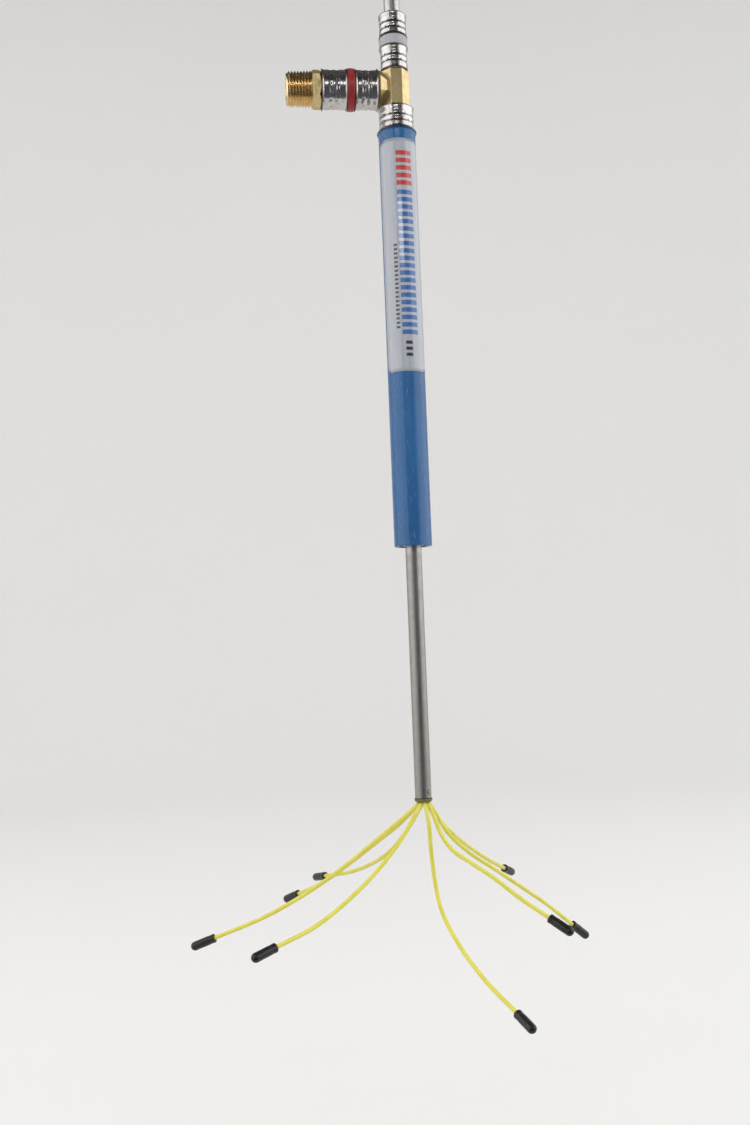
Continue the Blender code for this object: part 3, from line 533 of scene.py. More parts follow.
@dataclass(frozen=True)
class Card(Finish):
    """A dark card that turns browner and darker with height.

    Attributes:
        upper: The colour of its upper part.
        change: The heights between which the colour changes.
    """

    upper: Colour = (0.024, 0.020, 0.018)
    change: tuple[float, float] = (0.40, 0.80)

    def dress(self, paint: Paint) -> None:
        """Paint the change of tone and a faint fibre."""
        height = paint.add("ShaderNodeSeparateXYZ", {0: paint.place}).outputs[2]
        colour = paint.mix(paint.spread(height, *self.change), self.colour, self.upper)
        fibre = paint.noise(900.0, detail=3.0)
        rough = paint.spread(fibre, 0.3, 0.7, self.roughness - 0.05, self.roughness + 0.05)
        paint.finish(colour, rough, paint.bump(fibre, 0.01 * MM))


TEE_BRASS = WorkedMetal("pale forged brass", (0.66, 0.53, 0.29), 0.32, 1.0, "brass", Grain.EVEN,
                        (0.82, 0.75, 0.58), 1.5e-6, 7.0e-6)
HEX_BRASS = WorkedMetal("milled olive brass", (0.62, 0.50, 0.26), 0.36, 1.0, "brass", Grain.ALONG_BRANCH,
                        (0.75, 0.68, 0.50), 3.0e-6, 6.0e-6)
THREAD_BRASS = WorkedMetal("cut thread brass", (0.78, 0.61, 0.34), 0.20, 1.0, "brass", Grain.ROUND_BRANCH,
                           (0.86, 0.74, 0.60), 2.0e-6, 2.0e-6)
# The shaft steel is painted darker below -125 mm as painted shade.
SHAFT_STEEL = WorkedMetal("drawn shaft steel", (0.57, 0.56, 0.55), 0.30, 1.0, "shaft_steel", Grain.ALONG_RUN,
                          (0.78, 0.76, 0.74), 2.0e-6, 1.0e-6, -125.0 * MM)
SLEEVE_STEEL = CrimpedSteel("crimped sleeve steel", (0.58, 0.565, 0.555), 0.20, 1.0, "stainless_sleeve")
# TUBE_BLUE carries a painted shade line at 124.6 mm, under the tube's lip.
TUBE_BLUE = Plastic("extruded blue plastic", (0.019, 0.135, 0.365), 0.26, 0.0, "blue_plastic",
                    Grain.ALONG_RUN, 4.0e-6, 0.12, 124.6 * MM)
COLLAR_WHITE = Plastic("moulded pale plastic", (0.50, 0.50, 0.535), 0.38, 0.0, "white_plastic")
COLLAR_RED = Plastic("moulded red plastic", (0.33, 0.016, 0.018), 0.36, 0.0, "red_plastic", cloudy=0.10)
BUSH_PLASTIC = Plastic("machined bush plastic", (0.72, 0.70, 0.63), 0.42, 0.0, "bearing_plastic",
                       Grain.ROUND_RUN)
CAP_RUBBER = Rubber("black cap rubber", (0.0055, 0.005, 0.005), 0.34, 0.0, "black_rubber")
RESIN = Plastic("dull green resin", (0.145, 0.145, 0.045), 0.50, 0.0, "plug_resin", cloudy=0.25)
LINE_YELLOW = FlungLine("flung yellow line", (0.88, 0.81, 0.085), 0.34, 0.0, "yellow_line")
LABEL_FILM = PrintedFilm("silver label film", (0.47, 0.50, 0.56), 0.30, 0.0, "label_film")
PAPER = Paper("pale paper", (0.66, 0.655, 0.645), 0.75, 0.0, "", 0.33)
CARD = Card("dark card", (0.085, 0.091, 0.106), 0.9, 0.0, "")


# Shapes


def rounded(corners: Sequence[Corner], closed: bool, steps: int = 4) -> list[Vector]:
    """Round the corners of a turned profile.

    Args:
        corners: Radius, height and how far the rounding reaches, for each.
        closed: Whether the last corner joins the first.
        steps: The number of spans in each rounding.

    Returns:
        Points as (radius, 0, height).
    """
    spots = [Vector((r, 0.0, h)) for r, h, _ in corners]
    points: list[Vector] = []
    for index, (spot, (_, _, reach)) in enumerate(zip(spots, corners)):
        ends = not closed and index in (0, len(spots) - 1)
        if reach == 0.0 or ends:
            points.append(spot)
            continue
        back = spots[index - 1] - spot
        ahead = spots[(index + 1) % len(spots)] - spot
        reach = min(reach, 0.42 * back.length, 0.42 * ahead.length)
        first, last = spot + back.normalized() * reach, spot + ahead.normalized() * reach
        points.append(first + back.normalized() * reach * 0.18)
        for step in range(steps + 1):
            t = step / steps
            points.append(first * (1 - t) ** 2 + spot * 2 * t * (1 - t) + last * t**2)
        points.append(last + ahead.normalized() * reach * 0.18)
    return points


def turned(points: Sequence[Vector], closed: bool, steps: int, phase: float = 0.0) -> bmesh.types.BMesh:
    """Turn a profile about Z, with a UV map that follows the surface.

    Args:
        points: The profile as (radius, 0, height).
        closed: Whether the last point joins the first, as in a ring.
        steps: The number of spans round the axis.
        phase: The angle of the first span.

    Returns:
        The turned surface.
    """
    bm = bmesh.new()
    uv = bm.loops.layers.uv.new("surface")
    travelled = [0.0]
    for one, other in zip(points, points[1:]):
        travelled.append(travelled[-1] + (other - one).length)
    total = travelled[-1]
    columns = []
    poles: dict[int, bmesh.types.BMVert] = {}
    for step in range(steps):
        turn = Matrix.Rotation(phase + tau * step / steps, 3, "Z")
        column = []
        for index, point in enumerate(points):
            if point.x < 1e-9:
                if index not in poles:
                    poles[index] = bm.verts.new(point)
                column.append(poles[index])
            else:
                column.append(bm.verts.new(turn @ point))
        columns.append(column)
    spans = len(points) if closed else len(points) - 1
    for step in range(steps):
        near, far = columns[step], columns[(step + 1) % steps]
        for index in range(spans):
            after = (index + 1) % len(points)
            row = [(near[index], step, index), (far[index], step + 1, index), (far[after], step + 1, after),
                   (near[after], step, after)]
            kept: dict[bmesh.types.BMVert, tuple[int, int]] = {}
            for vert, across, along in row:
                kept.setdefault(vert, (across, along))
            if len(kept) < 3:
                continue
            face = bm.faces.new(list(kept))
            for loop, (across, along) in zip(face.loops, kept.values()):
                loop[uv].uv = (across / steps, travelled[along] / total)
    bmesh.ops.recalc_face_normals(bm, faces=bm.faces)
    return bm


def mesh_from(name: str, bm: bmesh.types.BMesh, finish: Finish, axis: Axis = Axis.RUN,
              sharp: float = 40.0) -> bpy.types.Object:
    """Turn a bmesh into a smooth object in the frame.

    Args:
        name: The piece's name.
        bm: The shape, which is freed.
        finish: The finish that it wears.
        axis: The axis that it was made on.
        sharp: Edges that turn by more degrees than this stay sharp.

    Returns:
        The new object, linked to the scene.
    """
    mesh = bpy.data.meshes.new(name)
    bm.to_mesh(mesh)
    bm.free()
    mesh.transform(axis.matrix())
    mesh.shade_smooth()
    mesh.set_sharp_from_angle(angle=radians(sharp))
    mesh.materials.append(finish.material())
    thing = bpy.data.objects.new(name, mesh)
    bpy.context.scene.collection.objects.link(thing)
    return thing


def settled(thing: bpy.types.Object) -> bpy.types.Object:
    """Turn an object's modifiers into plain mesh.

    Args:
        thing: An object with live modifiers.

    Returns:
        The same object without modifiers.
    """
    depsgraph = bpy.context.evaluated_depsgraph_get()
    mesh = bpy.data.meshes.new_from_object(thing.evaluated_get(depsgraph), depsgraph=depsgraph)
    thing.modifiers.clear()
    thing.data = mesh
    return thing


def combined(thing: bpy.types.Object, operation: str, tools: Sequence[bpy.types.Object]) -> bpy.types.Object:
    """Join or cut an object with others, which are then removed.

    Args:
        thing: The object that is shaped.
        operation: UNION, DIFFERENCE or INTERSECT.
        tools: The objects that shape it.

    Returns:
        The shaped object.
    """
    for tool in tools:
        modifier = thing.modifiers.new("shape", "BOOLEAN")
        modifier.operation = operation
        modifier.solver = "EXACT"
        modifier.object = tool
    settled(thing)
    for tool in tools:
        bpy.data.objects.remove(tool, do_unlink=True)
    return thing


def eased(thing: bpy.types.Object, width: float, segments: int = 3) -> bpy.types.Object:
    """Round an object's sharp edges and even out its shading.

    Args:
        thing: The object.
        width: The width of the rounding, in metres.
        segments: The number of spans in the rounding.

    Returns:
        The same object as plain mesh.
    """
    bevel = thing.modifiers.new("ease", "BEVEL")
    bevel.width = width
    bevel.segments = segments
    bevel.limit_method = "ANGLE"
    bevel.angle_limit = radians(24.0)
    bevel.use_clamp_overlap = True
    settled(thing)
    thing.data.shade_smooth()
    thing.data.set_sharp_from_angle(angle=radians(50.0))
    even = thing.modifiers.new("even", "WEIGHTED_NORMAL")
    even.keep_sharp = True
    return settled(thing)


def hose_barb(name: str, radius: float, face: float, way: float, axis: Axis) -> bpy.types.Object:
    """Make a solid hose barb with three ridges.

    Args:
        name: The barb's name.
        radius: Its ridges' radius.
        face: Where it leaves the body.
        way: 1 if it points up the axis and -1 if it points down.
        axis: The axis that it lies on.

    Returns:
        The barb.
    """
    start, end = face - way * OVERLAP, face + way * BARB_LENGTH
    waist = radius - RIDGE_HEIGHT
    corners: list[Corner] = [(0.0, start, 0.0), (waist, start, 0.0)]
    for ridge in RIDGE_PLACES:
        foot, tip = start + (end - start) * ridge, start + (end - start) * (ridge + RIDGE_REACH)
        corners += [(waist, foot, 0.0), (radius, foot, 0.06 * MM), (waist, tip, 0.0)]
    corners += [(waist, end, 0.2 * MM), (0.0, end, 0.0)]
    return mesh_from(name, turned(rounded(corners, False), False, 64), TEE_BRASS, axis)


def cutting_rod(name: str, radius: float, start: float, end: float, axis: Axis = Axis.RUN,
                steps: int = 64) -> bpy.types.Object:
    """Make a plain rod that cuts a hole or a water way.

    Args:
        name: The rod's name.
        radius: Its radius.
        start: Where it begins.
        end: Where it ends.
        axis: The axis that it lies on.
        steps: The number of spans round it.

    Returns:
        The rod.
    """
    points = [Vector(p) for p in ((0, 0, start), (radius, 0, start), (radius, 0, end), (0, 0, end))]
    return mesh_from(name, turned(points, False, steps), TEE_BRASS, axis)


class Tree(Board):
    """A Geometry Nodes tree that ends in plain geometry with one material."""

    def __init__(self, name: str, sizes: dict[str, float | int], finish: Finish) -> None:
        """Start a tree with named inputs.

        Args:
            name: The tree's name.
            sizes: The named inputs and their values.
            finish: The finish that the result wears.
        """
        group = bpy.data.node_groups.new(name, "GeometryNodeTree")
        super().__init__(group)
        face = group.interface
        face.new_socket("Geometry", in_out="INPUT", socket_type="NodeSocketGeometry")
        self.keys: dict[str, str] = {}
        self.sizes = sizes
        for title, value in sizes.items():
            kind = "NodeSocketInt" if isinstance(value, int) else "NodeSocketFloat"
            self.keys[title] = face.new_socket(title, in_out="INPUT", socket_type=kind).identifier
        face.new_socket("Geometry", in_out="OUTPUT", socket_type="NodeSocketGeometry")
        self.entry = group.nodes.new("NodeGroupInput")
        self.exit = group.nodes.new("NodeGroupOutput")
        self.finish = finish

    def size(self, title: str) -> Socket:
        """Return one of the tree's named inputs."""
        return self.entry.outputs[title]

    def close(self, geometry: Socket) -> None:
        """End the tree: realize the instances and set the material.

        Args:
            geometry: The finished geometry.
        """
        real = self.add("GeometryNodeRealizeInstances", {"Geometry": geometry})
        row = {"Geometry": real.outputs[0], "Material": self.finish.material()}
        dressed = self.add("GeometryNodeSetMaterial", row)
        self.tree.links.new(dressed.outputs[0], self.exit.inputs["Geometry"])

    def shape(self, thing: bpy.types.Object) -> bpy.types.Object:
        """Run the tree on an object and keep the result as plain mesh.

        Args:
            thing: The object that feeds the tree.

        Returns:
            The same object without a modifier.
        """
        modifier = thing.modifiers.new(self.tree.name, "NODES")
        modifier.node_group = self.tree
        for title, key in self.keys.items():
            modifier[key] = self.sizes[title]
        settled(thing)
        bpy.data.node_groups.remove(self.tree)
        return thing


# Sub-assemblies


@dataclass
class SubAssembly:
    """A group of pieces that ride on one body.

    Attributes:
        body: The body's name in the frame.
        pieces: How many pieces the group has handed over.
    """

    body: str
    pieces: int = 0

    def keep(self, thing: bpy.types.Object, finish: Finish, *nodes: str) -> bpy.types.Object:
        """Hand a finished piece over to the frame.

        Args:
            thing: The piece, in place.
            finish: The finish that it wears; not used.
            *nodes: The frame's nodes that it stands for.

        Returns:
            The piece.
        """
        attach(thing, self.body)
        if nodes:
            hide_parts(*nodes)
        self.pieces += 1
        log.info("%s rides on %s and stands for %s", thing.name, self.body, ", ".join(nodes) or "nothing")
        return thing

    def turn(self, name: str, corners: Sequence[Corner], finish: Finish, axis: Axis = Axis.RUN,
             closed: bool = True, steps: int = 96) -> bpy.types.Object:
        """Make a turned piece with rounded corners.

        Args:
            name: The piece's name.
            corners: Radius, height and rounding of each corner.
            finish: The finish that it wears.
            axis: The axis that it is turned on.
            closed: Whether it is a ring.
            steps: The number of spans round the axis.

        Returns:
            The piece.
        """
        return mesh_from(name, turned(rounded(corners, closed), closed, steps), finish, axis)

    def build(self) -> None:
        """Build and hand over every piece of the group."""
        raise NotImplementedError


@dataclass
class Whips(SubAssembly):
    """The eight yellow lines and their rubber tips, one body each.

    Attributes:
        radius: The line's radius.
        ring_radius: How far each root is from the shaft's axis.
        ring_turn: The bearing of the first root.
        root_z: The height of the roots.
        spacing: The distance between a line's points.
        hidden: How far a line runs on inside its tip.
        tip_radius: The tip's radius.
        tip_length: The tip's length.
        tip_bore: The radius of the tip's bore.
        tip_depth: The depth of the tip's bore.
        waist: How far the tip narrows behind its mouth.
        waist_ends: Where the waist begins and ends, and its full depth's ends.
        routes: For each line its bearing and its points, out and down.
    """

    radius: float = 1.2 * MM
    ring_radius: float = 1.3 * MM / sin(pi / 8)
    ring_turn: float = radians(6.0)
    root_z: float = -274.7 * MM
    spacing: float = 2.5 * MM
    hidden: float = 11.2 * MM
    tip_radius: float = 2.55 * MM
    tip_length: float = 15.2 * MM
    tip_bore: float = 1.45 * MM
    tip_depth: float = 11.5 * MM
    waist: float = 0.1 * MM
    waist_ends: tuple[float, ...] = (4.2 * MM, 3.4 * MM, 2.0 * MM, 1.3 * MM)
    routes: tuple = (
        (22.0, ((2.6, 6.6), (4.6, 24.0), (7.2, 40.0), (13.5, 57.0), (30.0, 72.0), (54.0, 85.0),
                (84.7, 95.6))),
        (52.0, ((3.0, 6.2), (7.4, 16.8), (14.6, 25.4), (26.0, 31.6), (40.0, 39.0), (55.0, 48.5),
                (72.3, 57.8))),
        (114.0, ((3.8, 5.6), (11.5, 17.5), (25.5, 30.5), (44.0, 43.0), (63.0, 56.0), (81.0, 68.5),
                 (100.5, 83.9))),
        (145.0, ((5.2, 4.6), (16.5, 12.6), (39.0, 26.0), (61.0, 37.0), (84.0, 47.5), (109.0, 57.4))),
        (206.0, ((4.6, 5.0), (19.0, 19.0), (38.0, 33.0), (63.0, 44.5), (90.0, 53.0), (119.2, 59.3))),
        (218.0, ((5.2, 4.4), (16.0, 12.6), (38.0, 26.5), (65.0, 43.0), (88.0, 56.0), (111.4, 65.6))),
        (259.0, ((5.0, 4.4), (19.5, 15.6), (38.0, 30.0), (62.0, 46.5), (92.0, 62.5), (121.5, 73.9))),
        (304.0, ((4.4, 5.0), (14.0, 15.8), (31.0, 30.0), (53.0, 43.5), (78.0, 54.5), (103.9, 60.4))),
    )

    def smooth_route(self, route: Sequence[Vector]) -> list[Vector]:
        """Read close points from a smooth curve through a route's points.

        Args:
            route: The route's own points.

        Returns:
            Close points on the curve.
        """
        spans = [other - one for one, other in zip(route, route[1:])]
        ways = [spans[0].normalized()]
        for before, after in zip(spans, spans[1:]):
            blend = before.normalized() * after.length + after.normalized() * before.length
            ways.append(blend.normalized())
        ways.append(spans[-1].normalized())
        dense = []
        for start, span, leaving, arriving in zip(route, spans, ways, ways[1:]):
            for sample in range(16):
                t = sample / 16
                turn = leaving * (t**3 - 2 * t**2 + t) + arriving * (t**3 - t**2)
                dense.append(start + span * (3 * t**2 - 2 * t**3) + turn * span.length)
        return [*dense, route[-1]]

    def even_points(self, dense: Sequence[Vector]) -> tuple[list[Vector], float]:
        """Step evenly along close points.

        Args:
            dense: Close points on a curve.

        Returns:
            The even points, and the curve's length.
        """
        lengths = [0.0]
        for one, other in zip(dense, dense[1:]):
            lengths.append(lengths[-1] + (other - one).length)
        count = round(lengths[-1] / self.spacing)
        points, at = [], 0
        for step in range(count + 1):
            target = lengths[-1] * step / count
            while at < len(dense) - 2 and lengths[at + 1] < target:
                at += 1
            share = min(1.0, (target - lengths[at]) / (lengths[at + 1] - lengths[at]))
            points.append(dense[at].lerp(dense[at + 1], share))
        return points, lengths[-1]

    def line(self, number: int, points: Sequence[Vector]) -> bpy.types.Object:
        """Make one line as a round curve with a small ball at its root.

        Args:
            number: The line's number.
            points: Its points, from the root to the tip's mouth.

        Returns:
            The line.
        """
        leaving = (points[1] - points[0]).normalized()
        arriving = (points[-1] - points[-2]).normalized()
        knots = [(points[0] - leaving * self.radius * sin(a), cos(a)) for a in (1.5, 1.2, 0.8, 0.4)]
        knots += [(point, 1.0) for point in points]
        knots.append((points[-1] + arriving * self.hidden, 1.0))
        curve = bpy.data.curves.new(f"yellow_line_{number}", "CURVE")
        curve.dimensions = "3D"
        curve.bevel_depth = self.radius
        curve.bevel_resolution = 6
        curve.use_fill_caps = True
        spline = curve.splines.new("POLY")
        spline.points.add(len(knots) - 1)
        for knot, (point, share) in zip(spline.points, knots):
            knot.co = (*point, 1.0)
            knot.radius = share
        spline.use_smooth = True
        curve.materials.append(LINE_YELLOW.material())
        thing = bpy.data.objects.new(f"yellow_line_{number}", curve)
        bpy.context.scene.collection.objects.link(thing)
        return thing

    def tip(self, number: int, mouth: Vector, way: Vector) -> bpy.types.Object:
        """Make one rubber tip, slightly waisted behind its rolled mouth.

        Args:
            number: The tip's number.
            mouth: Where the line enters it.
            way: The direction that it points in.

        Returns:
            The tip.
        """
        full, length = self.tip_radius, self.tip_length
        dome = [pi / 2 * step / 12 for step in range(1, 12)]
        high, upper, lower, low = self.waist_ends
        corners: list[Corner] = [(0.0, length, 0.0)]
        corners += [(full * sin(a), length - full + full * cos(a), 0.0) for a in dome]
        corners += [
            (full, length - full, 0.0),
            (full, high, 0.0),
            (full - self.waist, upper, 0.4 * MM),
            (full - self.waist, lower, 0.4 * MM),
            (full, low, 0.3 * MM),
            (full, 0.0, 0.45 * MM),
            (self.tip_bore, 0.0, 0.2 * MM),
            (self.tip_bore, self.tip_depth, 0.0),
            (0.0, self.tip_depth, 0.0),
        ]
        bm = turned(rounded(corners, False), False, 48)
        lean = Matrix.Rotation(atan2(hypot(way.x, way.y), way.z), 4, "Y")
        turn = Matrix.Rotation(atan2(way.y, way.x), 4, "Z") @ lean
        bmesh.ops.transform(bm, matrix=Matrix.Translation(mouth) @ turn, verts=bm.verts)
        return mesh_from(f"rubber_tip_{number}", bm, CAP_RUBBER)

    def build(self) -> None:
        """Build the eight lines and tips."""
        for number, (bearing, stations) in enumerate(self.routes, 1):
            self.body = f"whip_{number}"
            share = self.ring_turn + tau * (number - 1) / len(self.routes)
            root = Vector((sin(share) * self.ring_radius, -cos(share) * self.ring_radius, self.root_z))
            outward = Vector((sin(radians(bearing)), -cos(radians(bearing)), 0.0))
            route = [root]
            route += [root + outward * out * MM - Vector((0.0, 0.0, down * MM)) for out, down in stations]
            points, length = self.even_points(self.smooth_route(route))
            line = self.keep(self.line(number, points), LINE_YELLOW, f"whip_line_{number}")
            way = (points[-1] - points[-2]).normalized()
            tip = self.keep(self.tip(number, points[-1], way), CAP_RUBBER, f"tip_cap_{number}")


@dataclass
class Grip(SubAssembly):
    """The blue tube, its label and the guide in its lower end.

    Attributes:
        radius: The tube's radius.
        bore: The tube's bore radius.
        half: Half the tube's length.
        neck: The radius of the neck in the crimp sleeve.
        neck_bore: The neck's bore radius.
        neck_top: The height of the neck's end.
        rim: The radius of the flared rim.
        label_top: The height of the label's top.
        label_height: The label's height.
        label_turn: The bearing of the label's middle.
        label_half: The angle from the label's middle to its side.
        label_corner: The radius of the label's corners.
        guide_ends: The heights of the guide's ends.
        guide_wall: The wall of its hub.
        rib_size: The width and height of a rib.
        bury: How far a rib reaches into the hub.
    """

    radius: float = 11.1125 * MM
    bore: float = 8.7125 * MM
    half: float = 125.0 * MM
    neck: float = 9.6125 * MM
    neck_bore: float = 7.7125 * MM
    neck_top: float = 139.3 * MM
    rim: float = 11.9625 * MM
    label_top: float = 117.7 * MM
    label_height: float = 140.5 * MM
    label_turn: float = radians(-3.0)
    label_half: float = radians(70.0)
    label_corner: float = 4.5 * MM
    guide_ends: tuple[float, float] = (-124.5 * MM, -114.5 * MM)
    guide_wall: float = 1.5 * MM
    rib_size: tuple[float, float] = (1.8 * MM, 9.0 * MM)
    bury: float = 0.4 * MM

    def tube(self) -> bpy.types.Object:
        """Make the tube: a rolled rim, a necked top and a cut lower end."""
        top, end = self.half, -self.half
        corners = [
            (self.neck_bore, self.neck_top, 0.2 * MM),
            (self.neck, self.neck_top, 0.3 * MM),
            (self.neck, top, 0.15 * MM),
            (self.rim, top, 0.25 * MM),
            (self.rim, top - 0.75 * MM, 0.3 * MM),
            (self.radius + 0.28 * MM, top - 1.3 * MM, 0.5 * MM),
            (self.radius, top - 4.4 * MM, 1.2 * MM),
            (self.radius, end, 0.55 * MM),
            (self.bore, end, 0.35 * MM),
            (self.bore, top - 4.5 * MM, 0.5 * MM),
            (self.neck_bore, top, 0.5 * MM),
        ]
        return self.turn("blue_grip_tube", corners, TUBE_BLUE, steps=128)

    def label(self) -> bpy.types.Object:
        """Make the label: a thin film, wrapped part way round the tube.

        Returns:
            The label, whose UV map counts millimetres from its middle and from its top.
        """
        inner, outer = self.radius + 0.12 * MM, self.radius + 0.30 * MM
        half_width = self.label_half * outer
        bm = bmesh.new()
        uv = bm.loops.layers.uv.new("surface")
        columns, rows = 96, 60
        grid = []
        for column in range(columns + 1):
            share = 2 * column / columns - 1
            across = half_width * sin(share * pi / 2)
            into = max(0.0, abs(across) - (half_width - self.label_corner)) / self.label_corner
            inset = self.label_corner * (1 - max(0.0, 1 - into**2) ** 0.5)
            bearing = self.label_turn + across / outer
            line = []
            for row in range(rows + 1):
                down = inset + (self.label_height - 2 * inset) * row / rows
                spot = Vector((sin(bearing) * outer, -cos(bearing) * outer, self.label_top - down))
                line.append((bm.verts.new(spot), across, down))
            grid.append(line)
        for near, far in zip(grid, grid[1:]):
            for row in range(rows):
                spots = (near[row], near[row + 1], far[row + 1], far[row])
                face = bm.faces.new([spot[0] for spot in spots])
                for loop, (_, across, down) in zip(face.loops, spots):
                    loop[uv].uv = (across / MM, down / MM)
        bmesh.ops.recalc_face_normals(bm, faces=bm.faces)
        thing = mesh_from("silver_label", bm, LABEL_FILM)
        wall = thing.modifiers.new("film", "SOLIDIFY")
        wall.thickness = outer - inner
        wall.offset = -1.0
        return settled(thing)

    def guide(self) -> bpy.types.Object:
        """Make the guide: a hub whose ribs a Geometry Nodes tree sets round it."""
        low, high = self.guide_ends
        hub = SHAFT_RUNNING + self.guide_wall
        corners = [(SHAFT_RUNNING, high, 0.3 * MM), (hub, high, 0.3 * MM), (hub, low, 0.3 * MM),
                   (SHAFT_RUNNING, low, 0.3 * MM)]
        thing = self.turn("guide_hub_and_ribs", corners, BUSH_PLASTIC, steps=72)
        reach = self.bore - FIT - hub + self.bury
        sizes = {"Ribs": 4, "Rib reach": reach, "Rib width": self.rib_size[0], "Rib height": self.rib_size[1],
                 "Middle": hub - self.bury + reach / 2, "Height": (low + high) / 2}
        tree = Tree("ribs round a hub", sizes, BUSH_PLASTIC)
        circle = {"Vertices": tree.size("Ribs"), "Radius": tree.size("Middle")}
        ring = tree.add("GeometryNodeMeshCircle", circle)
        size = tree.add("ShaderNodeCombineXYZ", {0: tree.size("Rib reach"), 1: tree.size("Rib width"),
                                                 2: tree.size("Rib height")})
        rib = tree.add("GeometryNodeMeshCube", {"Size": size.outputs[0], "Vertices X": 6, "Vertices Y": 3,
                                                "Vertices Z": 6})
        spot = tree.add("GeometryNodeInputPosition").outputs[0]
        facing = tree.add("FunctionNodeAlignRotationToVector", {"Vector": spot}, axis="X", pivot_axis="Z")
        row = {"Points": ring.outputs[0], "Instance": rib.outputs[0], "Rotation": facing.outputs[0]}
        placed = tree.add("GeometryNodeInstanceOnPoints", row)
        lift = tree.add("ShaderNodeCombineXYZ", {2: tree.size("Height")})
        moved = {"Geometry": placed.outputs[0], "Translation": lift.outputs[0]}
        raised = tree.add("GeometryNodeTransform", moved)
        both = tree.add("GeometryNodeJoinGeometry")
        for part in (raised.outputs[0], tree.entry.outputs["Geometry"]):
            tree.tree.links.new(part, both.inputs[0])
        tree.close(both.outputs[0])
        return tree.shape(thing)

    def build(self) -> None:
        """Build the tube, the label and the guide."""
        self.keep(self.tube(), TUBE_BLUE, "grip_tube")
        self.keep(self.label(), LABEL_FILM, "grip_label")
        self.keep(self.guide(), BUSH_PLASTIC, "lower_guide")


@dataclass
class Tee(SubAssembly):
    """The brass tee: an octagonal run with a flared side collar.

    Attributes:
        width: The run's width across its flats.
        bottom: The height of its lower end.
        top: The height of its upper end.
        reach: How far the side collar stands out from the axis.
        collar_width: The side collar's width across its flats.
        throat_width: The flare's width where it leaves the run.
        throat_reach: Where the flare leaves the run.
        cut: How far the run's ends are cut back.
        roof: The wall above the chamber.
        chamber: The radius of the chamber round the shaft.
        inlet_bore: The radius of the side's water way.
        top_barb: The radius of the upper barb's ridges.
        top_bore: The radius of the upper water way.
        tube_barb: The radius of the lower barb's ridges.
        tube_bore: The radius of the lower water way.
        side_barb: The radius of the side barb's ridges.
    """

    width: float = 16.5 * MM
    bottom: float = 139.6 * MM
    top: float = 163.05 * MM
    reach: float = 10.7 * MM
    collar_width: float = 21.1 * MM
    throat_width: float = 10.0 * MM
    throat_reach: float = 2.0 * MM
    cut: float = 0.9 * MM
    roof: float = 2.5 * MM
    chamber: float = 6.8125 * MM
    inlet_bore: float = 6.6 * MM
    top_barb: float = 5.9125 * MM
    top_bore: float = 5.1125 * MM
    tube_barb: float = 7.4625 * MM
    tube_bore: float = 6.0625 * MM
    side_barb: float = 8.0 * MM

    def prism(self, name: str, widths: Sequence[tuple[float, float]], axis: Axis) -> bpy.types.Object:
        """Make an octagonal bar.

        Args:
            name: The bar's name.
            widths: Its width across flats at each height.
            axis: The axis that it lies on.

        Returns:
            The bar.
        """
        grow = 0.5 / cos(pi / 8)
        points = [Vector((0.0, 0.0, widths[0][1]))]
        points += [Vector((width * grow, 0.0, height)) for width, height in widths]
        points.append(Vector((0.0, 0.0, widths[-1][1])))
        return mesh_from(name, turned(points, False, 8, pi / 8), TEE_BRASS, axis, sharp=5.0)

    def build(self) -> None:
        """Build the tee with its barbs and its water ways."""
        run = self.prism("brass_tee", (
            (self.width - 2 * self.cut, self.top), (self.width, self.top - self.cut),
            (self.width, self.bottom + self.cut), (self.width - 2 * self.cut, self.bottom)), Axis.RUN)
        flare = self.prism("flare", (
            (self.collar_width - 0.5 * MM, self.reach), (self.collar_width, self.reach - 0.3 * MM),
            (self.collar_width, self.reach - 1.1 * MM), (self.throat_width, self.throat_reach)), Axis.BRANCH)
        eased(combined(run, "UNION", [flare]), 0.45 * MM)
        barbs = [
            hose_barb("top_barb", self.top_barb, self.top, 1.0, Axis.RUN),
            hose_barb("tube_barb", self.tube_barb, self.bottom, -1.0, Axis.RUN),
            hose_barb("side_barb", self.side_barb, self.reach, 1.0, Axis.BRANCH),
        ]
        combined(run, "UNION", barbs)
        bores = [
            cutting_rod("top_bore", self.top_bore, self.top - 6.0 * MM, self.top + CLEAR),
            cutting_rod("tube_bore", self.tube_bore, self.bottom - CLEAR, self.bottom + 10.0 * MM),
            cutting_rod("chamber", self.chamber, self.bottom + self.cut, self.top - self.roof),
            cutting_rod("side_bore", self.inlet_bore, 0.0, self.reach + CLEAR, Axis.BRANCH),
        ]
        combined(run, "DIFFERENCE", bores)
        self.keep(run, TEE_BRASS, "tee_body")

@dataclass(frozen=True)
class SleeveSize:
    """One crimp sleeve.

    Attributes:
        name: The piece's name.
        node: The frame's node that it stands for.
        axis: The axis that it sits on.
        start: Where it begins along that axis.
        length: Its length.
        inner: Its bore radius.
        low_flare: How far its first lip stands out.
        high_flare: How far its last lip stands out.
        marks: The number of crimp marks in each row.
        turn: The angle of the first mark.
        bite: How deep the marks are.
    """

    name: str
    node: str
    axis: Axis
    start: float
    length: float
    inner: float
    low_flare: float
    high_flare: float
    marks: int
    turn: float
    bite: float


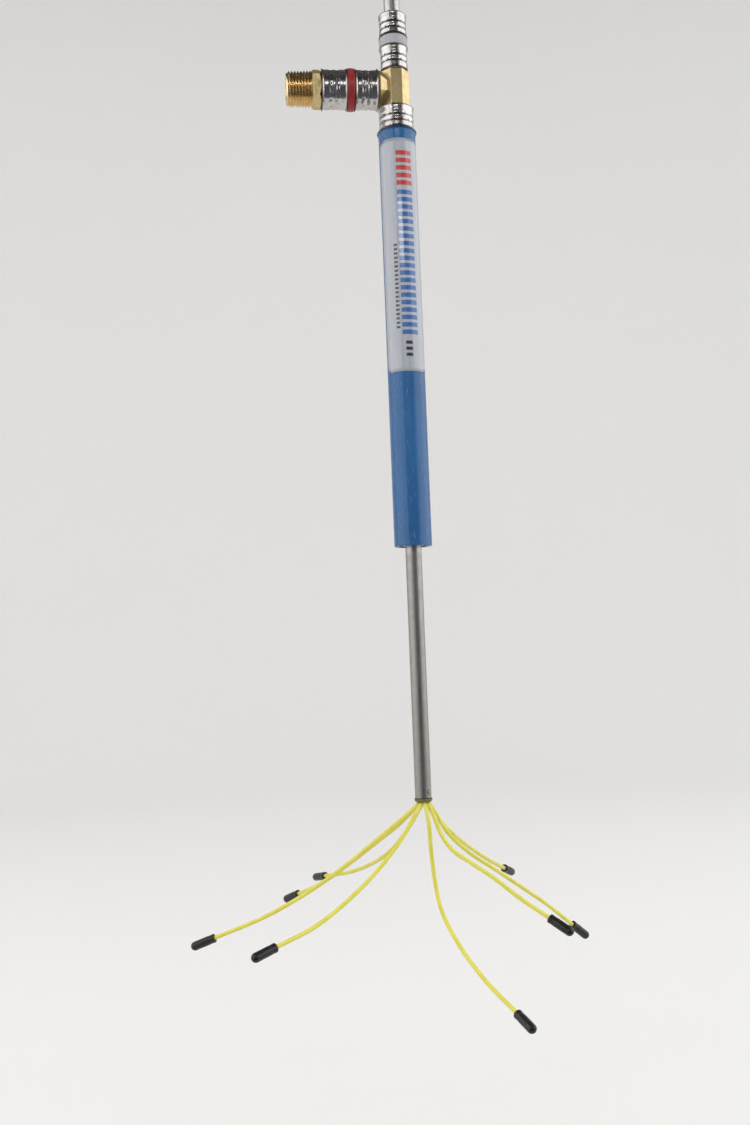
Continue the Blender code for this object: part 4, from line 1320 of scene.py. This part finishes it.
@dataclass
class Sleeves(SubAssembly):
    """The five crimped steel sleeves.

    Attributes:
        wall: The sleeve's wall thickness.
        depth: The depth of a crimp band.
        lip: How far a flared lip reaches along the sleeve.
        sizes: The sleeves.
    """

    wall: float = 0.65 * MM
    depth: float = 0.3 * MM
    lip: float = 1.6 * MM
    sizes: tuple[SleeveSize, ...] = (
        SleeveSize("tube_crimp_sleeve", "tube_sleeve", Axis.RUN, 125.3 * MM, 14.0 * MM, 9.8625 * MM,
                   0.6 * MM, 0.3 * MM, 14, 0.4, 0.05 * MM),
        SleeveSize("top_lower_crimp_sleeve", "top_lower_sleeve", Axis.RUN, 163.35 * MM, 14.0 * MM,
                   7.5625 * MM, 0.1 * MM, 0.65 * MM, 12, 1.0, 0.05 * MM),
        SleeveSize("top_upper_crimp_sleeve", "top_upper_sleeve", Axis.RUN, 183.95 * MM, 14.0 * MM,
                   7.5625 * MM, 0.55 * MM, 0.25 * MM, 12, 2.1, 0.05 * MM),
        SleeveSize("branch_inner_crimp_sleeve", "branch_inner_sleeve", Axis.BRANCH, 11.0 * MM, 13.7 * MM,
                   10.7 * MM, 0.85 * MM, 0.85 * MM, 14, 0.2, 0.16 * MM),
        SleeveSize("branch_outer_crimp_sleeve", "branch_outer_sleeve", Axis.BRANCH, 29.7 * MM, 15.0 * MM,
                   10.7 * MM, 0.85 * MM, 0.85 * MM, 14, 1.3, 0.16 * MM),
    )

    def profile(self, size: SleeveSize) -> list[Vector]:
        """Return the closed profile of a thin sleeve that opens at its ends.

        Args:
            size: The sleeve.

        Returns:
            Points as (radius, 0, height), from its own start.
        """
        def outer(height: float) -> float:
            """Return the outer radius at a height."""
            share = height / size.length
            near = max(0.0, 1 - height / self.lip) ** 2.2 * size.low_flare
            far = max(0.0, 1 - (size.length - height) / self.lip) ** 2.2 * size.high_flare
            bands = sum(max(0.0, 1 - ((share - spot) / 0.13) ** 2) ** 2 for spot in CRIMP_ROWS)
            return size.inner + self.wall + near + far - self.depth * bands

        rows = 72
        heights = [size.length * row / rows for row in range(rows + 1)]
        skin = [Vector((outer(h), 0.0, h)) for h in heights]
        wall = [Vector((max(size.inner, outer(h) - 0.5 * MM), 0.0, h)) for h in reversed(heights)]
        skin[0].z += 0.12 * MM
        skin[-1].z -= 0.12 * MM
        wall[0].z -= 0.12 * MM
        wall[-1].z += 0.12 * MM
        lips = ((0.05, 0.04), (0.16, 0.0), (0.34, 0.0))
        low = [Vector((outer(0.0) - x * MM, 0.0, y * MM)) for x, y in reversed(lips)]
        high = [Vector((outer(size.length) - x * MM, 0.0, size.length - y * MM)) for x, y in lips]
        return [*skin, *high, *wall, *low]

    def crimp_tree(self, size: SleeveSize) -> Tree:
        """Build the tree that presses two rows of marks into a sleeve.

        Args:
            size: The sleeve.

        Returns:
            The tree, which stores each mark's strength, and a painted shade line along each lip, as "crimp".
        """
        sizes = {"Length": size.length, "Marks": size.marks, "Depth": size.bite, "Row half width": 1.0 * MM,
                 "Lip shade width": 1.2 * MM, "Turn": size.turn, "Seed": float(size.marks)}
        tree = Tree("crimp marks", sizes, SLEEVE_STEEL)
        spot = tree.add("GeometryNodeInputPosition").outputs[0]
        part = tree.add("ShaderNodeSeparateXYZ", {0: spot})
        angle = tree.math("ARCTAN2", part.outputs[1], part.outputs[0])
        stirred = {"Vector": spot, "W": tree.size("Seed"), "Scale": 260.0, "Detail": 1.0}
        uneven = tree.add("ShaderNodeTexNoise", stirred, noise_dimensions="4D").outputs["Fac"]
        total: Socket | None = None
        for share, skew in zip(CRIMP_ROWS, (0.0, pi)):
            middle = tree.math("MULTIPLY", tree.size("Length"), share)
            off = tree.math("SUBTRACT", part.outputs[2], middle)
            off = tree.math("DIVIDE", off, tree.size("Row half width"))
            row = tree.math("MAXIMUM", tree.math("SUBTRACT", 1.0, tree.math("MULTIPLY", off, off)), 0.0)
            wave = tree.math("ADD", tree.math("MULTIPLY", angle, tree.size("Marks")), tree.size("Turn"))
            wave = tree.math("COSINE", tree.math("ADD", wave, skew))
            wave = tree.math("POWER", tree.math("MULTIPLY_ADD", wave, 0.5, 0.5), 2.0)
            mark = tree.math("MULTIPLY", tree.math("MULTIPLY", row, row), wave)
            total = mark if total is None else tree.math("ADD", total, mark)
        strength = tree.math("MULTIPLY", total, tree.math("MULTIPLY_ADD", uneven, 1.6, 0.2))
        flat = tree.add("ShaderNodeCombineXYZ", {0: part.outputs[0], 1: part.outputs[1]}).outputs[0]
        outwards = tree.add("ShaderNodeVectorMath", {0: flat}, operation="NORMALIZE").outputs[0]
        inward = tree.math("MULTIPLY", tree.math("MULTIPLY", strength, tree.size("Depth")), -1.0)
        move = tree.add("ShaderNodeVectorMath", {0: outwards, "Scale": inward}, operation="SCALE").outputs[0]
        pushed = {"Geometry": tree.entry.outputs["Geometry"], "Offset": move}
        pressed = tree.add("GeometryNodeSetPosition", pushed)
        # Painted shade: a dark line along each lip, fading over the lip shade width.
        past = tree.math("SUBTRACT", tree.size("Length"), part.outputs[2])
        lip_shade_ramp = tree.math("DIVIDE", tree.math("MINIMUM", part.outputs[2], past), tree.size("Lip shade width"))
        edge = tree.math("MAXIMUM", tree.math("SUBTRACT", 1.0, lip_shade_ramp), 0.0)
        # The marks and the lip line are stored together as painted shade.
        dark = tree.math("MAXIMUM", strength, tree.math("MULTIPLY", edge, 1.3))
        stored = {"Geometry": pressed.outputs[0], "Name": "crimp", "Value": dark}
        kept = tree.add("GeometryNodeStoreNamedAttribute", stored, data_type="FLOAT", domain="POINT")
        tree.close(kept.outputs[0])
        return tree

    def build(self) -> None:
        """Build the five sleeves."""
        for size in self.sizes:
            thing = mesh_from(size.name, turned(self.profile(size), True, 168), SLEEVE_STEEL, sharp=60.0)
            self.crimp_tree(size).shape(thing)
            thing.data.transform(size.axis.matrix() @ Matrix.Translation((0.0, 0.0, size.start)))
            self.keep(thing, SLEEVE_STEEL, size.node)


@dataclass
class TopStack(SubAssembly):
    """The pale nipple, the flanged bush and the seal above the tee.

    Attributes:
        bore: The nipple's bore radius.
        radius: The nipple's radius, and that of the bush's flange.
        collar: The radius of the nipple's collar.
        ends: The heights of the nipple's ends.
        collar_ends: The heights of its collar's ends.
        flange: The heights of the flange's faces.
        bush_bottom: The height of the bush's lower end.
        seal_ends: The heights of the seal's ends.
        slope: The heights between which the seal narrows to its lip.
    """

    bore: float = 6.1625 * MM
    radius: float = 7.3125 * MM
    collar: float = 8.6125 * MM
    ends: tuple[float, float] = (163.35 * MM, 196.45 * MM)
    collar_ends: tuple[float, float] = (177.65 * MM, 183.65 * MM)
    flange: tuple[float, float] = (196.75 * MM, 197.95 * MM)
    bush_bottom: float = 180.85 * MM
    seal_ends: tuple[float, float] = (175.95 * MM, 180.55 * MM)
    slope: tuple[float, float] = (178.35 * MM, 179.15 * MM)

    def build(self) -> None:
        """Build the nipple, the bush and the seal."""
        (low, high), (under, over) = self.ends, self.collar_ends
        nipple = [
            (self.bore, high, 0.2 * MM), (self.radius, high, 0.2 * MM), (self.radius, over, 0.1 * MM),
            (self.collar, over, 0.6 * MM), (self.collar, under, 0.6 * MM), (self.radius, under, 0.1 * MM),
            (self.radius, low, 0.2 * MM), (self.bore, low, 0.2 * MM),
        ]
        self.keep(self.turn("pale_top_nipple", nipple, COLLAR_WHITE), COLLAR_WHITE, "top_nipple")
        fitted = self.bore - FIT
        under, over = self.flange
        bush = [
            (SHAFT_RUNNING, over, 0.35 * MM), (self.radius, over, 0.3 * MM), (self.radius, under, 0.1 * MM),
            (fitted, under, 0.1 * MM), (fitted, self.bush_bottom, 0.2 * MM),
            (SHAFT_RUNNING, self.bush_bottom, 0.2 * MM),
        ]
        self.keep(self.turn("flanged_bush", bush, BUSH_PLASTIC), BUSH_PLASTIC, "top_bearing")
        relieved = (SHAFT_RUNNING + fitted) / 2
        (low, high), (under, over) = self.seal_ends, self.slope
        seal = [
            (SHAFT_RUNNING, high, 0.1 * MM), (fitted, high, 0.1 * MM), (fitted, low, 0.1 * MM),
            (relieved, low, 0.1 * MM), (relieved, under, 0.0), (SHAFT_RUNNING, over, 0.1 * MM),
        ]
        self.keep(self.turn("lip_seal", seal, CAP_RUBBER, steps=64), CAP_RUBBER, "shaft_seal")


@dataclass
class Inlet(SubAssembly):
    """The red nipple and the threaded brass adapter of the side branch.

    Attributes:
        hex_start: Where the hexagon begins along the branch.
        hex_end: Where the hexagon ends and the thread begins.
        end: Where the thread ends.
        across_flats: The hexagon's width.
        hex_turn: The angle of the hexagon's first corner.
        thread_radius: The thread's crest radius at the hexagon.
        pitch: The thread's pitch.
        depth: The thread's depth.
        taper: How much the diameter shrinks for each length.
        chamfer: How far the thread's end is cut back.
        bore: The adapter's bore radius.
        barb: The radius of the barb's ridges.
        pipe: The red nipple's radius.
        pipe_bore: Its bore radius.
        pipe_ends: Where it begins and ends.
        collar: The radius of its collar.
        collar_ends: Where the collar begins and ends.
    """

    hex_start: float = 45.0 * MM
    hex_end: float = 50.6 * MM
    end: float = 65.9 * MM
    across_flats: float = 20.64 * MM
    hex_turn: float = radians(53.0)
    thread_radius: float = 10.6 * MM
    pitch: float = 1.814 * MM
    depth: float = 1.15 * MM
    taper: float = 1.0 / 16.0
    chamfer: float = 1.5 * MM
    bore: float = 6.6 * MM
    barb: float = 8.0 * MM
    pipe: float = 10.45 * MM
    pipe_bore: float = 8.25 * MM
    pipe_ends: tuple[float, float] = (11.0 * MM, 44.7 * MM)
    collar: float = 12.3 * MM
    collar_ends: tuple[float, float] = (25.0 * MM, 29.4 * MM)

    def nipple(self) -> bpy.types.Object:
        """Make the red nipple with its bevelled collar."""
        near, far = self.pipe_ends
        low, high = self.collar_ends
        edge = self.collar - 0.5 * MM
        corners = [
            (self.pipe_bore, far, 0.2 * MM), (self.pipe, far, 0.2 * MM), (self.pipe, high, 0.1 * MM),
            (edge, high, 0.25 * MM), (self.collar, high - 0.8 * MM, 0.5 * MM),
            (self.collar, low + 0.8 * MM, 0.5 * MM), (edge, low, 0.25 * MM),
            (self.pipe, low, 0.1 * MM), (self.pipe, near, 0.2 * MM), (self.pipe_bore, near, 0.2 * MM),
        ]
        return self.turn("red_branch_nipple", corners, COLLAR_RED, Axis.BRANCH)

    def hexagon(self) -> bpy.types.Object:
        """Make the hexagon, chamfered like a nut, with its barb and bore."""
        corner = self.across_flats / 2 / cos(pi / 6)
        flat = [Vector(p) for p in ((0, 0, self.hex_start), (corner, 0, self.hex_start),
                                    (corner, 0, self.hex_end), (0, 0, self.hex_end))]
        nut = mesh_from("brass_hexagon", turned(flat, False, 6, self.hex_turn), HEX_BRASS, Axis.BRANCH, 5.0)
        cut = self.across_flats / 2 - 0.1 * MM
        wide, slope = corner + 0.2 * MM, 1.3 * MM
        lens = [(0.0, self.hex_start, 0.0), (cut, self.hex_start, 0.0), (wide, self.hex_start + slope, 0.0),
                (wide, self.hex_end - slope, 0.0), (cut, self.hex_end, 0.0), (0.0, self.hex_end, 0.0)]
        envelope = mesh_from("lens", turned(rounded(lens, False), False, 120), HEX_BRASS, Axis.BRANCH)
        eased(combined(nut, "INTERSECT", [envelope]), 0.16 * MM)
        barb = hose_barb("barb", self.barb, self.hex_start, -1.0, Axis.BRANCH)
        combined(nut, "UNION", [barb])
        hole = cutting_rod("hole", self.bore, self.hex_start - CLEAR, self.end + CLEAR, Axis.BRANCH)
        return combined(nut, "DIFFERENCE", [hole])

    def thread_tree(self, sizes: dict[str, float | int]) -> Tree:
        """Build the tree that winds a tapered V thread from a flat grid.

        Args:
            sizes: The tree's named inputs.

        Returns:
            The tree.
        """
        tree = Tree("tapered thread", sizes, THREAD_BRASS)
        length = tree.math("MULTIPLY", tree.size("Turns"), tau)
        row = {"Size X": length, "Size Y": 1.0, "Vertices X": tree.size("Columns"),
               "Vertices Y": tree.size("Rows")}
        sheet = tree.add("GeometryNodeMeshGrid", row).outputs[0]
        spot = tree.add("ShaderNodeSeparateXYZ", {0: tree.add("GeometryNodeInputPosition").outputs[0]})
        angle = tree.math("ADD", spot.outputs[0], tree.math("MULTIPLY", length, 0.5))
        share = tree.math("ADD", spot.outputs[1], 0.5)
        turns = tree.math("SUBTRACT", tree.math("ADD", tree.math("DIVIDE", angle, tau), share), 1.0)
        height = tree.math("MULTIPLY", turns, tree.size("Pitch"))
        height = tree.math("MINIMUM", tree.math("MAXIMUM", height, -0.4 * MM), tree.size("Length"))
        vee = tree.math("ABSOLUTE", tree.math("MULTIPLY_ADD", share, 2.0, -1.0))
        vee = tree.math("DIVIDE", tree.math("SUBTRACT", vee, 0.125), 0.75)
        vee = tree.math("MINIMUM", tree.math("MAXIMUM", vee, 0.0), 1.0)
        shrink = tree.math("MULTIPLY", height, tree.math("MULTIPLY", tree.size("Taper"), 0.5))
        crest = tree.math("SUBTRACT", tree.size("Radius"), shrink)
        cut = tree.math("SUBTRACT", crest, tree.math("MULTIPLY", vee, tree.size("Depth")))
        left = tree.math("SUBTRACT", tree.size("Length"), height)
        ending = tree.math("ADD", tree.math("SUBTRACT", crest, tree.size("Chamfer")), left)
        radius = tree.math("MINIMUM", cut, ending)
        x = tree.math("MULTIPLY", radius, tree.math("COSINE", angle))
        y = tree.math("MULTIPLY", radius, tree.math("SINE", angle))
        wound = tree.add("ShaderNodeCombineXYZ", {0: x, 1: y, 2: height}).outputs[0]
        bent = tree.add("GeometryNodeSetPosition", {"Geometry": sheet, "Position": wound}).outputs[0]
        merged = tree.add("GeometryNodeMergeByDistance", {"Geometry": bent, "Distance": 1e-6}).outputs[0]
        both = tree.add("GeometryNodeJoinGeometry")
        for part in (merged, tree.entry.outputs["Geometry"]):
            tree.tree.links.new(part, both.inputs[0])
        tree.close(both.outputs[0])
        return tree

    def thread(self) -> bpy.types.Object:
        """Make the threaded end: a wound thread on a bored core."""
        length = self.end - self.hex_end
        end_radius = self.thread_radius - length * self.taper / 2 - self.chamfer
        core = [
            (self.bore, length, 0.35 * MM), (end_radius - 0.02 * MM, length, 0.1 * MM),
            (end_radius - 0.3 * MM, length - 0.6 * MM, 0.0), (end_radius - 0.3 * MM, -0.3 * MM, 0.0),
            (self.bore, -0.3 * MM, 0.0),
        ]
        thing = mesh_from("brass_thread", turned(rounded(core, True), True, 96), THREAD_BRASS)
        turns = ceil(length / self.pitch) + 2
        sizes = {"Turns": turns, "Columns": turns * 72 + 1, "Rows": 17, "Pitch": self.pitch,
                 "Length": length, "Radius": self.thread_radius, "Depth": self.depth,
                 "Taper": self.taper, "Chamfer": self.chamfer}
        self.thread_tree(sizes).shape(thing)
        bm = bmesh.new()
        bm.from_mesh(thing.data)
        bmesh.ops.dissolve_degenerate(bm, edges=bm.edges, dist=1e-6)
        bmesh.ops.recalc_face_normals(bm, faces=bm.faces)
        bm.to_mesh(thing.data)
        bm.free()
        thing.data.transform(Axis.BRANCH.matrix() @ Matrix.Translation((0.0, 0.0, self.hex_end)))
        thing.data.shade_smooth()
        thing.data.set_sharp_from_angle(angle=radians(35.0))
        return thing

    def build(self) -> None:
        """Build the red nipple, the hexagon and the thread."""
        self.keep(self.nipple(), COLLAR_RED, "branch_nipple")
        self.keep(self.hexagon(), HEX_BRASS, "inlet_adapter")
        self.keep(self.thread(), THREAD_BRASS)


@dataclass
class Drive(SubAssembly):
    """The steel shaft, its core, collars, plug and rivet.

    Attributes:
        radius: The shaft's radius.
        bore: The shaft's bore radius.
        top: The height of the drill's end.
        bottom: The height of the lower end.
        pin_z: The height of the rivet.
        pin_turn: The bearing of the rivet.
        pin_radius: The rivet's radius.
        hole: The radius of the rivet's hole.
        hole_reach: How far the hole's tool stands out each way.
        core_length: The length of the core in the shaft's end.
        collar: The bore and outer radius of a stop collar.
        collar_height: A stop collar's height.
        plug: The plug's radius in the shaft.
        plug_top: The height of its upper end.
        plug_step: The height where its nose begins.
        nose: The radius of the nose's face.
        nose_z: The height of the nose's face.
    """

    radius: float = 4.7625 * MM
    bore: float = 4.0525 * MM
    top: float = 247.95 * MM
    bottom: float = -271.0 * MM
    pin_z: float = -267.6 * MM
    pin_turn: float = radians(40.0)
    pin_radius: float = 1.2 * MM
    hole: float = 1.45 * MM
    hole_reach: float = 9.0 * MM
    core_length: float = 30.0 * MM
    collar: tuple[float, float] = (4.8625 * MM, 5.9625 * MM)
    collar_height: float = 2.5 * MM
    plug: float = 3.8025 * MM
    plug_top: float = -257.0 * MM
    plug_step: float = -271.3 * MM
    nose: float = 4.697 * MM
    nose_z: float = -273.2 * MM

    def across(self, thing: bpy.types.Object) -> bpy.types.Object:
        """Lay a piece that was made along Z in the rivet's place."""
        turn = Matrix.Rotation(self.pin_turn, 4, "Z") @ Matrix.Rotation(pi / 2, 4, "X")
        thing.data.transform(Matrix.Translation((0.0, 0.0, self.pin_z)) @ turn)
        return thing

    def drilled(self, thing: bpy.types.Object) -> bpy.types.Object:
        """Cut the rivet's hole through a piece."""
        hole = cutting_rod("hole", self.hole, -self.hole_reach, self.hole_reach, steps=40)
        return combined(thing, "DIFFERENCE", [self.across(hole)])

    def shaft(self) -> bpy.types.Object:
        """Make the shaft: a long tube with a hole for the rivet."""
        chamfer = 0.55 * MM
        corners = [
            (self.bore, self.top, 0.12 * MM), (self.radius - chamfer, self.top, 0.05 * MM),
            (self.radius, self.top - chamfer, 0.2 * MM), (self.radius, self.bottom, 0.18 * MM),
            (self.bore, self.bottom, 0.18 * MM),
        ]
        thing = self.drilled(self.turn("steel_shaft", corners, SHAFT_STEEL, steps=128))
        thing.data.shade_smooth()
        thing.data.set_sharp_from_angle(angle=radians(35.0))
        even = thing.modifiers.new("even", "WEIGHTED_NORMAL")
        even.keep_sharp = True
        return settled(thing)

    def line_plug(self) -> bpy.types.Object:
        """Make the resin plug, whose nose covers the shaft's end."""
        rim = self.nose + 0.5 * MM
        corners = [
            (0.0, self.plug_top, 0.0), (self.plug, self.plug_top, 0.2 * MM),
            (self.plug, self.plug_step, 0.1 * MM), (rim, self.plug_step, 0.25 * MM),
            (rim, self.nose_z + 0.95 * MM, 0.5 * MM), (self.nose, self.nose_z, 0.6 * MM),
            (0.0, self.nose_z, 0.0),
        ]
        return self.drilled(self.turn("resin_line_plug", corners, RESIN, closed=False, steps=72))

    def build(self) -> None:
        """Build the shaft and everything that turns with it but the lines."""
        self.keep(self.shaft(), SHAFT_STEEL, "drive_shaft")
        radius, low, high = self.bore - FIT, self.top - self.core_length, self.top - 0.1 * MM
        core = [(0.0, high, 0.0), (radius, high, 0.3 * MM), (radius, low, 0.3 * MM), (0.0, low, 0.0)]
        self.keep(self.turn("shank_core_rod", core, SHAFT_STEEL, closed=False), SHAFT_STEEL, "shank_core")
        inner, outer = self.collar
        for name, node, start in (("upper_stop_collar", "upper_thrust_collar", 157.75 * MM),
                                  ("lower_stop_collar", "lower_thrust_collar", -114.2 * MM)):
            end = start + self.collar_height
            ring = [(inner, end, 0.15 * MM), (outer, end, 0.25 * MM), (outer, start, 0.25 * MM),
                    (inner, start, 0.15 * MM)]
            self.keep(self.turn(name, ring, SHAFT_STEEL, steps=72), SHAFT_STEEL, node)
        self.keep(self.line_plug(), RESIN, "line_plug")
        half = self.radius + 0.3 * MM
        rivet = [(0.0, half, 0.0), (self.pin_radius, half - 0.05 * MM, 0.28 * MM),
                 (self.pin_radius, 0.05 * MM - half, 0.28 * MM), (0.0, -half, 0.0)]
        pin = self.across(self.turn("cross_rivet", rivet, SHAFT_STEEL, closed=False, steps=40))
        self.keep(pin, SHAFT_STEEL, "plug_pin")


# The studio


class Shown(Enum):
    """What takes a lamp's light."""

    ALL = 0
    GLOSS = 1
    SURFACE = 2


@dataclass
class Studio:
    """The floor, the backdrop, the lights and the camera.

    Attributes:
        floor_z: The floor's height.
        spot: The camera's place.
        azimuth: How far the view turns from +Y towards +X.
        pitch: How far the view looks up.
        roll: How far the camera leans.
        lens: The focal length for a 36 mm sensor.
    """

    floor_z: float = -0.440
    spot: tuple[float, float, float] = (-0.0932160, -0.6681142, -0.1806900)
    azimuth: float = radians(6.0)
    pitch: float = 6.98131701e-02
    roll: float = -3.78383972e-02
    lens: float = 36.8

    def camera(self) -> None:
        """Place the camera at the photograph's angle."""
        level = Vector((cos(self.azimuth), -sin(self.azimuth), 0.0))
        flat = Vector((sin(self.azimuth), cos(self.azimuth), 0.0))
        ahead = flat * cos(self.pitch) + Vector((0.0, 0.0, sin(self.pitch)))
        over = level.cross(ahead)
        right = level * cos(self.roll) + over * sin(self.roll)
        up = over * cos(self.roll) - level * sin(self.roll)
        lens = bpy.data.cameras.new("camera")
        lens.lens = self.lens
        lens.sensor_width = 36.0
        lens.clip_start = 0.01
        lens.dof.use_dof = False
        thing = bpy.data.objects.new("camera", lens)
        bpy.context.scene.collection.objects.link(thing)
        axes = Matrix((right, up, -ahead)).transposed().to_4x4()
        thing.matrix_world = Matrix.Translation(self.spot) @ axes
        bpy.context.scene.camera = thing

    def sweep(self) -> None:
        """Make the floor, which curves up into a wall all round the washer."""
        reach, bend, height = 2.1, 0.7, 2.6
        edge = [Vector((0.0, 0.0, self.floor_z)), Vector((reach - bend, 0.0, self.floor_z))]
        for step in range(1, 17):
            a = pi / 2 * step / 16
            edge.append(Vector((reach - bend + bend * sin(a), 0.0, self.floor_z + bend - bend * cos(a))))
        edge.append(Vector((reach, 0.0, height)))
        bm = turned(edge, False, 96)
        bmesh.ops.reverse_faces(bm, faces=bm.faces)
        floor = mesh_from("paper_sweep", bm, PAPER, sharp=80.0)

    def hood(self) -> None:
        """Hang dark cards before and above the washer, which only its gloss shows."""
        side = 0.85
        outline = [(-0.16, self.floor_z + 0.004), (-1.25, self.floor_z + 0.004), (-1.35, self.floor_z + 0.15),
                   (-1.35, 1.0), (-1.2, 1.1), (1.15, 1.1), (1.25, 1.0), (1.25, 0.86)]
        bm = bmesh.new()
        rows = [[bm.verts.new((x, y, z)) for y, z in outline] for x in (-side, side)]
        for index in range(len(outline) - 1):
            bm.faces.new((rows[0][index], rows[1][index], rows[1][index + 1], rows[0][index + 1]))
        card = mesh_from("dark_cards", bm, CARD, sharp=20.0)
        card.visible_camera = False
        card.visible_diffuse = False
        card.visible_shadow = False

    def lamp(self, name: str, bearing: float, distance: float, height: float, size: tuple[float, float],
             radiance: float, colour: Colour = (1.0, 1.0, 1.0), shown: Shown = Shown.ALL) -> None:
        """Hang a soft rectangular lamp that faces the washer.

        Args:
            name: The lamp's name.
            bearing: Degrees from -Y towards +X.
            distance: How far it hangs from the shaft's axis.
            height: How high its middle hangs.
            size: Its width and height.
            radiance: How bright its face looks, where 1 is white.
            colour: Its colour.
            shown: What takes its light.
        """
        light = bpy.data.lights.new(name, "AREA")
        light.shape = "RECTANGLE"
        light.size, light.size_y = size
        light.energy = radiance * pi * size[0] * size[1]
        light.color = colour
        thing = bpy.data.objects.new(name, light)
        thing.visible_diffuse = shown is not Shown.GLOSS
        thing.visible_glossy = shown is not Shown.SURFACE
        spot = Vector((sin(radians(bearing)) * distance, -cos(radians(bearing)) * distance, height))
        aim = Vector((0.0, 0.0, min(height, 0.0))) - spot
        thing.location = spot
        thing.rotation_euler = aim.to_track_quat("-Z", "Y").to_euler()
        bpy.context.scene.collection.objects.link(thing)

    def lights(self) -> None:
        """Light the washer with soft panels, and with strips that its gloss alone shows."""
        self.lamp("left panel", -80.0, 1.25, 0.35, (1.6, 1.3), 1.05, (1.0, 0.985, 0.97))
        self.lamp("right panel", 84.0, 1.25, 0.35, (1.6, 1.3), 1.15, (0.98, 0.99, 1.0))
        self.lamp("left strip", -38.0, 1.2, 0.30, (0.04, 1.3), 6.0, shown=Shown.GLOSS)
        self.lamp("right strip", 46.0, 1.2, 0.30, (0.04, 1.3), 6.0, shown=Shown.GLOSS)
        self.lamp("front bar", -6.0, 1.2, 0.50, (0.55, 0.10), 8.0, shown=Shown.GLOSS)
        self.lamp("front fill", 4.0, 1.4, 0.45, (1.5, 1.3), 0.90, shown=Shown.SURFACE)
        self.lamp("top panel", 180.0, 0.25, 1.95, (2.0, 1.2), 1.9)
        world = bpy.data.worlds.new("room")
        world.use_nodes = True
        bpy.context.scene.world = world
        back = world.node_tree.nodes["Background"]
        back.inputs["Color"].default_value = (1.0, 0.99, 0.98, 1.0)
        back.inputs["Strength"].default_value = 0.28
        bpy.context.scene.view_settings.view_transform = "Standard"


def main() -> None:
    """Build the studio and every sub-assembly."""
    logging.basicConfig(level=logging.INFO, format="%(name)s: %(message)s")
    studio = Studio()
    studio.camera()
    groups: list[Callable[[], SubAssembly]] = [
        lambda: Whips("whip_1"), lambda: Grip("housing"), lambda: Tee("housing"), lambda: Sleeves("housing"),
        lambda: TopStack("housing"), lambda: Inlet("housing"), lambda: Drive("rotor"),
    ]
    total = 0
    for make in groups:
        group = make()
        group.build()
        total += group.pieces
        log.info("%s: %d pieces", type(group).__name__, group.pieces)
    studio.sweep()
    studio.hood()
    studio.lights()
    log.info("%d pieces in all", total)
    bpy.context.view_layer.update()


if __name__ == "__main__":
    main()
